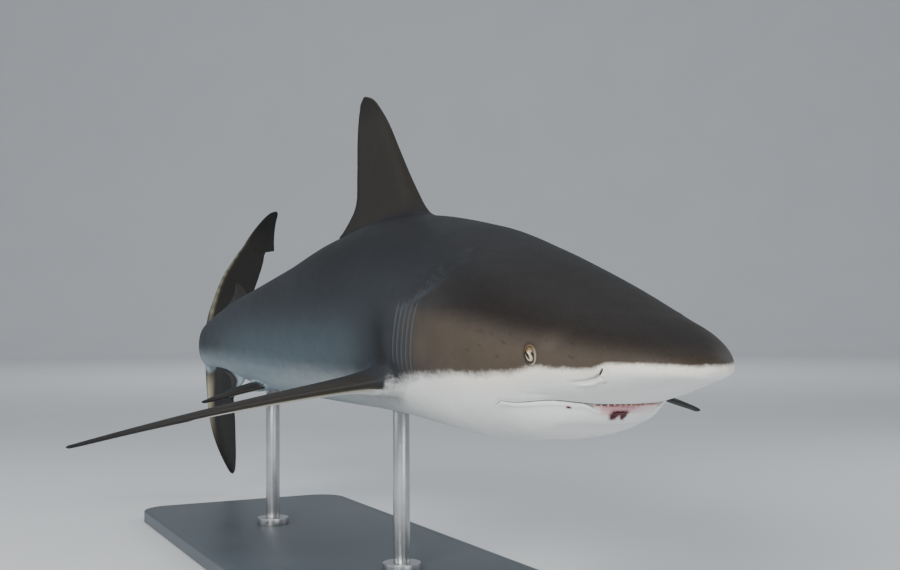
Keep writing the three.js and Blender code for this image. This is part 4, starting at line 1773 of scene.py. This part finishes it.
class Shade:
    """A shader value that can be reckoned with."""

    def __init__(self, paint: "Paint", socket: Any) -> None:
        """Wrap a socket.

        Args:
            paint: the material it belongs to.
            socket: the node's output.
        """
        self.paint = paint
        self.socket = socket

    __add__, __radd__ = operator("ADD"), operator("ADD", True)
    __sub__, __rsub__ = operator("SUBTRACT"), operator("SUBTRACT", True)
    __mul__, __truediv__, __pow__ = operator("MULTIPLY"), operator("DIVIDE"), operator("POWER")

    def highest(self, other: Any) -> "Shade":
        """The greater of two values."""
        return self.paint.math("MAXIMUM", self, other)

    def ease(self, low: float, high: float) -> "Shade":
        """Ease from 0 at one value to 1 at another.

        Args:
            low: where it is 0.
            high: where it is 1.

        Returns:
            The eased value.
        """
        node = self.paint.node("ShaderNodeMapRange", {"interpolation_type": "SMOOTHSTEP"}, {
            "Value": self, "From Min": low, "From Max": high})
        return Shade(self.paint, node.outputs["Result"])


Colour = tuple[float, float, float]


class Paint:
    """Builds one material's nodes."""

    def __init__(self, name: str) -> None:
        """Start a material.

        Args:
            name: its name.
        """
        self.material = bpy.data.materials.new(name)
        self.material.use_nodes = True
        self.tree = self.material.node_tree
        self.tree.nodes.clear()

    def node(self, kind: str, settings: dict, inputs: dict) -> bpy.types.Node:
        """Add a node.

        Args:
            kind: the node's type.
            settings: its properties.
            inputs: its inputs by name or number.

        Returns:
            The node.
        """
        node = self.tree.nodes.new(kind)
        for key, value in settings.items():
            setattr(node, key, value)
        for key, value in inputs.items():
            if isinstance(value, Shade):
                self.tree.links.new(value.socket, node.inputs[key])
            elif isinstance(value, tuple) and node.inputs[key].type == "RGBA":
                node.inputs[key].default_value = (*value, 1)
            else:
                node.inputs[key].default_value = value
        return node

    def math(self, operation: str, a: Any, b: Any) -> Shade:
        """Reckon with two values."""
        return Shade(self, self.node(
            "ShaderNodeMath", {"operation": operation}, {0: a, 1: b}).outputs[0])

    def mix(self, a: Any, b: Any, factor: Any, blend: str = "MIX") -> Shade:
        """Blend two colours.

        Args:
            a: the first colour.
            b: the second.
            factor: share of the second.
            blend: how they are blended.

        Returns:
            The colour.
        """
        node = self.node("ShaderNodeMix", {"data_type": "RGBA", "blend_type": blend}, {
            0: factor, 6: a, 7: b})
        return Shade(self, node.outputs[2])

    def vector(self, name: str) -> tuple[Shade, Shade, Shade]:
        """Read a stored vector's three parts."""
        node = self.node("ShaderNodeAttribute", {"attribute_name": name}, {})
        split = self.node("ShaderNodeSeparateXYZ", {}, {0: Shade(self, node.outputs["Vector"])})
        return tuple(Shade(self, out) for out in split.outputs)

    def value(self, name: str) -> Shade:
        """Read a stored value."""
        node = self.node("ShaderNodeAttribute", {"attribute_name": name}, {})
        return Shade(self, node.outputs["Fac"])

    def place(self) -> Shade:
        """Read the object coordinates."""
        return Shade(self, self.node("ShaderNodeTexCoord", {}, {}).outputs["Object"])

    def joined(self, x: Any, y: Any, z: Any) -> Shade:
        """Join three values into a vector."""
        return Shade(self, self.node("ShaderNodeCombineXYZ", {}, {0: x, 1: y, 2: z}).outputs[0])

    def noise(self, vector: Shade, scale: float, detail: float = 3, rough: float = 0.55) -> Shade:
        """Soft noise from 0 to 1.

        Args:
            vector: where it is read.
            scale: lumps for each unit.
            detail: how many finer layers it has.
            rough: how strong they are.

        Returns:
            The noise.
        """
        node = self.node("ShaderNodeTexNoise", {}, {
            "Vector": vector, "Scale": scale, "Detail": detail, "Roughness": rough})
        return Shade(self, node.outputs[0])

    def cells(self, vector: Shade, scale: float) -> Shade:
        """Distance to the middle of the nearest cell.

        Args:
            vector: where it is read.
            scale: cells for each unit.

        Returns:
            The distance.
        """
        node = self.node("ShaderNodeTexVoronoi", {}, {"Vector": vector, "Scale": scale})
        return Shade(self, node.outputs["Distance"])

    def bump(self, height: Shade, distance: float, strength: float = 1.0) -> Shade:
        """Turn a height into a surface direction.

        Args:
            height: the height, 0 to 1.
            distance: the depth of the relief in metres.
            strength: how much of it shows.

        Returns:
            The direction.
        """
        node = self.node("ShaderNodeBump", {}, {
            "Height": height, "Distance": distance, "Strength": strength})
        return Shade(self, node.outputs[0])

    def finish(self, inputs: dict) -> bpy.types.Material:
        """Close the material with its surface.

        Args:
            inputs: values of the surface's sockets.

        Returns:
            The material.
        """
        surface = self.node("ShaderNodeBsdfPrincipled", {}, inputs)
        self.node("ShaderNodeOutputMaterial", {}, {"Surface": Shade(self, surface.outputs[0])})
        return self.material


@dataclass(frozen=True)
class SkinFinish:
    """Colours of the shark's skin."""

    head: Colour = (0.013, 0.0105, 0.009)
    bronze: Colour = (0.080, 0.062, 0.045)
    flank: Colour = (0.022, 0.026, 0.031)
    ridge: Colour = (0.008, 0.008, 0.0085)
    white: Colour = (0.74, 0.75, 0.735)
    cream: Colour = (0.78, 0.69, 0.56)
    cool: Colour = (0.27, 0.36, 0.42)
    haze: Colour = (0.064, 0.089, 0.105)
    blade: Colour = (0.022, 0.019, 0.015)
    # Also the colour of the painted shade band behind the gills.
    tip: Colour = (0.006, 0.0055, 0.0055)
    rim: Colour = (0.46, 0.42, 0.29)
    # Painted shade for the mouth's line, the nostrils and the gill slits.
    pit_shade: Colour = (0.012, 0.009, 0.008)
    gum: Colour = (0.56, 0.31, 0.33)
    bruise: Colour = (0.20, 0.085, 0.13)
    wound: Colour = (0.055, 0.002, 0.003)
    lid_pale: Colour = (0.44, 0.37, 0.28)
    lid_gold: Colour = (0.135, 0.078, 0.028)
    lid_dark: Colour = (0.012, 0.009, 0.007)
    gill: Colour = (0.058, 0.078, 0.098)
    murk: Colour = (0.82, 0.80, 0.77)
    roughness: float = 0.55
    coat: float = 0.02

    def back(self, paint: Paint, at: Shade, up: Shade, brown: Shade, shade: Shade,
             fin: Shade) -> Shade:
        """Colour of the dark back and flank.

        Args:
            paint: the material.
            at: station.
            up: level.
            brown: share of the warm patches.
            shade: share of the painted shade band behind the gills.
            fin: share of the fins.

        Returns:
            The colour.
        """
        place = paint.place()
        broad = paint.noise(place, 7, 5, 0.6)
        fine = paint.noise(place, 95, 4, 0.6)
        body = 1 - fin
        colour = paint.mix(self.head, self.flank, (at + broad * 5).ease(13, 27))
        low_head = (up - at * 0.15 + broad * 0.7).ease(1.6, -0.1) * at.ease(24, 14)
        colour = paint.mix(colour, self.bronze, low_head.highest(brown) * 0.78)
        crest = (up - broad * 2.0).ease(1.6, 7.0)
        colour = paint.mix(colour, self.ridge, crest * 0.8)
        # Painted shade: the band behind the gills is darkened towards the fins' tip colour.
        colour = paint.mix(colour, self.tip, shade * 0.6)
        streaked = paint.noise(paint.joined(at * 0.5, up * 0.2, up * 1.5), 1.0, 4, 0.6)
        low = (up + broad * 1.2 + streaked * 0.8).ease(5.4, 0.2) * at.ease(24, 31)
        colour = paint.mix(colour, self.haze, low * body * at.ease(74, 50) * 0.9)
        colour = paint.mix(colour, self.blade, fin * 0.85)
        level = 0.66 + broad * 0.38 + fine * 0.30
        return paint.mix(colour, paint.joined(level, level, level), 1.0, "MULTIPLY")

    def build(self) -> bpy.types.Material:
        """Make the material."""
        paint = Paint("shark_skin")
        at, side, up = paint.vector("form")
        pit_shade, gum, wound = paint.vector("fold")
        pale, gold, dark = paint.vector("lid")
        gill, shade, brown = paint.vector("gill_shade_brown")
        fin, tip, rim = paint.vector("fin")
        tone = paint.value("tone")
        place = paint.place()
        along = paint.joined(at * 0.28, side * 1.1, up * 1.9)
        ragged = paint.noise(along, 1.1, 6, 0.65) - 0.5
        speckle = paint.noise(place, 190, 3, 0.65) - 0.5
        grit = paint.noise(place, 60, 4, 0.6) - 0.5
        broken = (ragged * 1.5 + speckle * 1.3 + grit * 0.9) * (1 - at.ease(22, 32) * 0.75)
        edge = (tone + broken).ease(-1.15, 1.15)
        under = paint.mix(self.white, self.cream, tone.ease(-6.0, -0.6) * at.ease(22, 8) * 0.6)
        under = paint.mix(under, self.cool, at.ease(24, 52) * 0.85)
        murk = paint.noise(place, 26, 5, 0.62)
        under = paint.mix(under, self.murk, murk.ease(0.35, 0.75) * 0.35, "MULTIPLY")
        colour = paint.mix(under, self.back(paint, at, up, brown, shade, fin), edge)
        streaks = paint.noise(paint.joined(at * 0.5, side * 5.5, up * 3.0), 1.0, 3, 0.5)
        scratch = streaks.ease(0.64, 0.70) * at.ease(17, 9) * edge
        pores = paint.cells(place, 115).ease(0.20, 0.10) * at.ease(9.5, 5.5) * (1 - edge)
        pores = pores * (up + 1.7).ease(0.0, 0.6)
        for layer, share in (
                (self.lid_dark, scratch * 0.3), (self.lid_dark, pores * 0.1),
                (self.tip, tip * fin * 0.85 * (0.7 + murk * 0.6)), (self.rim, rim * fin * 0.8),
                (self.gill, gill * 0.8 * (0.5 + murk)), (self.lid_gold, gold * 0.9),
                (self.lid_pale, pale * 0.95), (self.lid_dark, dark * 0.95)):
            colour = paint.mix(colour, layer, share)
        tissue = paint.noise(place, 210, 5, 0.7)
        blotch = tissue.ease(0.46, 0.66) * gum.ease(0.3, 0.9) * 0.85
        flesh = paint.mix(self.gum, self.bruise, blotch)
        colour = paint.mix(colour, flesh, (gum * (0.55 + tissue * 0.8)).ease(0.05, 0.85))
        # Painted shade in the mouth's line, the nostrils and the gill slits.
        colour = paint.mix(colour, self.pit_shade, pit_shade * 0.97)
        torn = paint.noise(place, 430, 4, 0.7) - 0.5
        colour = paint.mix(colour, self.bruise, (wound + torn * 0.5).ease(0.02, 0.3) * 0.7)
        colour = paint.mix(colour, self.wound, (wound + torn * 0.9).ease(0.28, 0.55))
        grain = paint.cells(place, 760)
        relief = grain * 0.5 + paint.noise(place, 420, 4, 0.6) * 0.5 - pores * 0.6
        rough = self.roughness + (murk - 0.5) * 0.16 + speckle * 0.06 - wound * 0.25 - gum * 0.2
        return paint.finish({
            "Base Color": colour, "Roughness": rough, "Normal": paint.bump(relief, 0.0006, 0.5),
            "Coat Weight": self.coat, "Coat Roughness": 0.3, "Specular IOR Level": 0.15})


@dataclass(frozen=True)
class EyeFinish:
    """Colours of the eye."""

    cream: Colour = (0.50, 0.44, 0.31)
    gold: Colour = (0.24, 0.155, 0.06)
    rim: Colour = (0.012, 0.009, 0.007)
    pupil: Colour = (0.002, 0.002, 0.003)
    iris: tuple[float, float] = (0.29, 0.41)
    iris_at: tuple[float, float] = (0.05, -0.08)
    slit: tuple[float, float] = (0.125, 0.33)
    slit_at: tuple[float, float] = (0.13, -0.02)
    lean: float = 22.0

    def oval(self, back: Shade, high: Shade, middle: tuple[float, float],
             size: tuple[float, float]) -> Shade:
        """Distance from the middle of a leaning oval, 1 on its edge.

        Args:
            back: tailward place on the eye.
            high: upward place on the eye.
            middle: the oval's middle.
            size: its half width and half height.

        Returns:
            The distance.
        """
        lean = math.radians(self.lean)
        a, b = back - middle[0], high - middle[1]
        across = (a * math.cos(lean) - b * math.sin(lean)) / size[0]
        along = (a * math.sin(lean) + b * math.cos(lean)) / size[1]
        return (across * across + along * along) ** 0.5

    def build(self) -> bpy.types.Material:
        """Make the material."""
        paint = Paint("eye")
        back, high, _ = paint.vector("gaze")
        slit = self.oval(back, high, self.slit_at, self.slit)
        iris = self.oval(back, high, self.iris_at, self.iris)
        fibres = paint.noise(paint.joined(back * 5, high * 5, slit * 0.5), 9, 4, 0.7)
        crown = (high - back * 0.4 + fibres * 0.12).ease(0.20, 0.38)
        colour = paint.mix(self.cream, self.gold, (fibres * 0.5 + iris * 0.5).ease(0.55, 0.85))
        colour = paint.mix(colour, self.rim, (iris + fibres * 0.16).ease(1.02, 1.16))
        colour = paint.mix(colour, self.gold, crown * 0.8)
        colour = paint.mix(colour, self.pupil, slit.ease(1.15, 0.9))
        return paint.finish({
            "Base Color": colour, "Roughness": fibres * 0.08 + 0.08, "Coat Weight": 1.0,
            "Coat Roughness": 0.03, "IOR": 1.4})


@dataclass(frozen=True)
class MouthFinish:
    """Colours of gum and teeth."""

    gum: Colour = (0.58, 0.24, 0.21)
    deep: Colour = (0.28, 0.07, 0.06)
    enamel: Colour = (0.84, 0.82, 0.74)
    worn: Colour = (0.70, 0.62, 0.45)

    def build(self) -> bpy.types.Material:
        """Make the material."""
        paint = Paint("gum_and_teeth")
        place = paint.place()
        lumps = paint.noise(place, 300, 4, 0.6)
        enamel = paint.value("enamel")
        colour = paint.mix(self.gum, self.deep, lumps.ease(0.4, 0.75))
        age = paint.noise(place, 500).ease(0.5, 0.8) * 0.5
        white = paint.mix(self.enamel, self.worn, age)
        colour = paint.mix(colour, white, enamel)
        return paint.finish({
            "Base Color": colour, "Roughness": 0.34 - enamel * 0.12,
            "Normal": paint.bump(lumps, 0.0006, 0.5), "Coat Weight": 0.25, "Coat Roughness": 0.12})


@dataclass(frozen=True)
class BoardFinish:
    """The stand's painted board."""

    paint: Colour = (0.060, 0.075, 0.088)
    faded: Colour = (0.085, 0.10, 0.115)

    def build(self) -> bpy.types.Material:
        """Make the material."""
        paint = Paint("stand_board_paint")
        place = paint.place()
        peel = paint.noise(place, 420, 3, 0.5)
        cloud = paint.noise(place, 5, 4, 0.6)
        colour = paint.mix(self.paint, self.faded, cloud.ease(0.35, 0.7) * 0.5)
        return paint.finish({
            "Base Color": colour, "Roughness": 0.42 + (cloud - 0.5) * 0.12,
            "Normal": paint.bump(peel, 0.0002, 0.35)})


@dataclass(frozen=True)
class SteelFinish:
    """The stand's brushed steel."""

    steel: Colour = (0.56, 0.565, 0.575)
    dull: Colour = (0.42, 0.425, 0.435)

    def build(self) -> bpy.types.Material:
        """Make the material."""
        paint = Paint("stand_steel")
        split = paint.node("ShaderNodeSeparateXYZ", {}, {0: paint.place()})
        x, y, z = (Shade(paint, out) for out in split.outputs)
        brush = paint.noise(paint.joined(x * 30, y * 30, z * 2600), 1.0, 3, 0.6)
        smear = paint.noise(paint.place(), 18, 4, 0.6)
        colour = paint.mix(self.steel, self.dull, smear.ease(0.4, 0.75) * 0.5)
        return paint.finish({
            "Base Color": colour, "Metallic": 1.0, "Roughness": 0.24 + brush * 0.16,
            "Normal": paint.bump(brush, 0.00012, 0.4)})


@dataclass(frozen=True)
class FloorFinish:
    """The pale studio floor."""

    pale: Colour = (0.70, 0.71, 0.72)
    cloudy: Colour = (0.66, 0.67, 0.685)

    def build(self) -> bpy.types.Material:
        """Make the material."""
        paint = Paint("studio_floor")
        cloud = paint.noise(paint.place(), 1.3, 4, 0.5)
        colour = paint.mix(self.pale, self.cloudy, cloud.ease(0.3, 0.7) * 0.4)
        return paint.finish({"Base Color": colour, "Roughness": 0.85})


def dress(obj: Piece, material: bpy.types.Material) -> None:
    """Give an object its only material."""
    obj.data.materials.clear()
    obj.data.materials.append(material)


# ------------------------------------------------------------------ studio
@dataclass(frozen=True)
class Lamp:
    """One soft rectangular light."""

    name: str
    place: tuple[float, float, float]
    aim: tuple[float, float, float]
    size: tuple[float, float]
    power: float
    colour: Colour


class Studio:
    """Floor, lights, sky and camera."""

    FLOOR, BEND, WALL = 13.0, 4.0, 5.0
    LAMPS = (
        Lamp("key", (2.3, -2.1, 1.55), (0.6, 0.0, 0.36), (1.2, 0.9), 86, (1.0, 0.99, 0.97)),
        Lamp("fill", (2.7, 0.4, 0.5), (0.7, 0.0, 0.34), (1.4, 0.8), 12, (0.96, 0.98, 1.0)),
        Lamp("side", (-0.6, -2.9, 1.5), (-0.4, 0.0, 0.4), (2.2, 1.2), 34, (0.93, 0.97, 1.0)),
        Lamp("far", (0.6, 2.9, 1.6), (0.0, 0.0, 0.4), (2.2, 1.4), 20, (0.95, 0.97, 1.0)),
        Lamp("overhead", (-0.2, 0.4, 3.4), (0.0, 0.0, 0.4), (3.4, 2.2), 22, (0.9, 0.95, 1.0)),
        Lamp("backdrop", (-5.0, 2.5, 5.5), (-11.0, 5.4, 1.5), (5.0, 2.5), 230, (0.97, 0.98, 1.0)),
    )
    EYE = (0.899, -0.729, 0.048)
    YAW, PITCH, ROLL = 153.94, 1.98, -0.32
    LENS, SENSOR = 45.52, 36.0
    SKY, SKY_STRENGTH = (0.80, 0.86, 0.92, 1), 0.5

    def floor(self) -> Piece:
        """Make a round floor that sweeps up at its far edge."""
        runs = np.concatenate([np.linspace(0.001, 1, 24), 1 + np.linspace(0, 1, 25)[1:],
                               [2.5, 3.0]])
        obj = unrolled("studio_floor", runs, np.linspace(0, 2 * math.pi, 97))
        run, turn = coords(obj)[:, 0], coords(obj)[:, 1]
        bend = np.clip(run - 1, 0, 1) * math.pi / 2
        out = np.clip(run, 0, 1) * self.FLOOR + np.sin(bend) * self.BEND
        rise = (1 - np.cos(bend)) * self.BEND + np.clip(run - 2, 0, 1) * self.WALL
        set_coords(obj, np.stack([np.cos(turn) * out, np.sin(turn) * out, rise], 1))
        select_all(obj)
        bpy.ops.mesh.remove_doubles(threshold=FLOOR_WELD)
        leave()
        bpy.ops.object.shade_smooth()
        return obj

    def lamp(self, plan: Lamp) -> None:
        """Hang one light.

        Args:
            plan: the light.
        """
        bpy.ops.object.light_add(type="AREA", location=plan.place)
        light = bpy.context.object
        light.name = "lamp_" + plan.name
        light.data.shape = "RECTANGLE"
        light.data.size, light.data.size_y = plan.size
        light.data.energy = plan.power
        light.data.color = plan.colour
        way = Vector(plan.aim) - Vector(plan.place)
        light.rotation_euler = way.to_track_quat("-Z", "Y").to_euler()

    def sky(self) -> None:
        """Set the even light all round."""
        world = bpy.data.worlds.new("studio_sky")
        bpy.context.scene.world = world
        world.use_nodes = True
        surface = world.node_tree.nodes["Background"]
        surface.inputs["Color"].default_value = self.SKY
        surface.inputs["Strength"].default_value = self.SKY_STRENGTH

    def camera(self) -> None:
        """Place the camera."""
        yaw, pitch, roll = (math.radians(v) for v in (self.YAW, self.PITCH, self.ROLL))
        forward = Vector((math.cos(yaw) * math.cos(pitch), math.sin(yaw) * math.cos(pitch),
                          math.sin(pitch)))
        right = Vector((math.sin(yaw), -math.cos(yaw), 0))
        up = right.cross(forward)
        across = right * math.cos(roll) + up * math.sin(roll)
        above = up * math.cos(roll) - right * math.sin(roll)
        data = bpy.data.cameras.new("camera")
        data.lens, data.sensor_width = self.LENS, self.SENSOR
        data.clip_start, data.clip_end = 0.02, 100
        obj = bpy.data.objects.new("camera", data)
        bpy.context.scene.collection.objects.link(obj)
        turn = Matrix((across, above, -forward)).transposed().to_4x4()
        obj.matrix_world = Matrix.Translation(Vector(SNOUT_TIP) + Vector(self.EYE)) @ turn
        bpy.context.scene.camera = obj

    def build(self) -> None:
        """Set the whole studio up."""
        floor = self.floor()
        dress(floor, FloorFinish().build())
        for plan in self.LAMPS:
            self.lamp(plan)
        self.sky()
        self.camera()


# ------------------------------------------------------------------ assembly
FLESH = (
    "head", "gill_region", "trunk_front", "trunk_rear", "tail_stalk_front", "tail_stalk_rear",
    "pectoral_fin_right", "pectoral_fin_left", "pelvic_fin_right", "pelvic_fin_left",
    "first_dorsal_fin", "second_dorsal_fin", "anal_fin", "caudal_fin_upper_lobe",
    "caudal_fin_lower_lobe",
)


def settle(obj: Piece, slot: str, *nodes: str) -> None:
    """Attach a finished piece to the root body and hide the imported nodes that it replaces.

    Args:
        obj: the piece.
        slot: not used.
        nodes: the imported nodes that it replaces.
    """
    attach(obj, "root")
    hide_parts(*nodes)
    LOG.info("%s: %d faces", obj.name, len(obj.data.polygons))


def build_skin(body: Body, hide: Hide) -> Piece:
    """Make the one skin.

    Args:
        body: the smooth form.
        hide: the skin's layout.

    Returns:
        The skin.
    """
    spine = body.spine
    union = SkinUnion(spine)
    skin, marks = hide.build()
    LOG.info("body laid out with %d faces", len(skin.data.polygons))
    plans = [
        Fin(FIRST_DORSAL, Tone.DARK, median_put(body, FIRST_DORSAL, 1)),
        Fin(SECOND_DORSAL, Tone.DARK, median_put(body, SECOND_DORSAL, 1)),
        Fin(ANAL, Tone.DUSKY, median_put(body, ANAL, -1)),
        Fin(CAUDAL, Tone.TAIL, caudal_put(spine)),
    ]
    for plan, tone in ((PECTORAL, Tone.TWO_SIDED), (PELVIC, Tone.TWO_SIDED)):
        for sign in (1, -1):
            hold = HOLDS[plan.name, sign]
            plans.append(Fin(plan, tone, paired_put(spine, plan, hold, sign)))
    fins = [union.add_fin(plan) for plan in plans]
    skin = union.join(skin, marks, fins)
    activate(skin)
    bpy.ops.object.shade_smooth()
    return skin


def main() -> None:
    """Build the shark, its stand and the studio."""
    logging.basicConfig(level=logging.INFO, format="%(name)s: %(message)s")
    spine = Spine()
    body = Body(spine, Mouth())
    hide = Hide(body)
    skin = build_skin(body, hide)
    dress(skin, SkinFinish().build())
    settle(skin, "skin", *FLESH)
    glass = EyeFinish().build()
    for fold, node in zip(hide.eyes, ("eye_right", "eye_left")):
        eye = Eyeball(fold).build(node)
        dress(eye, glass)
        settle(eye, "eye", node)
    teeth = Teeth(hide.mouth).build()
    dress(teeth, MouthFinish().build())
    settle(teeth, "mouth", "lower_jaw")
    stand = Stand()
    board = stand.board()
    dress(board, BoardFinish().build())
    settle(board, "stand_board", "stand_base")
    steel = SteelFinish().build()
    for place in ("front", "rear"):
        rod_node, collar_node = "stand_rod_" + place, "stand_collar_" + place
        for obj, node in ((stand.rod(rod_node), rod_node),
                          (stand.collar(collar_node, rod_node), collar_node)):
            dress(obj, steel)
            settle(obj, "stand_metal", node)
    Studio().build()


if __name__ == "__main__":
    main()
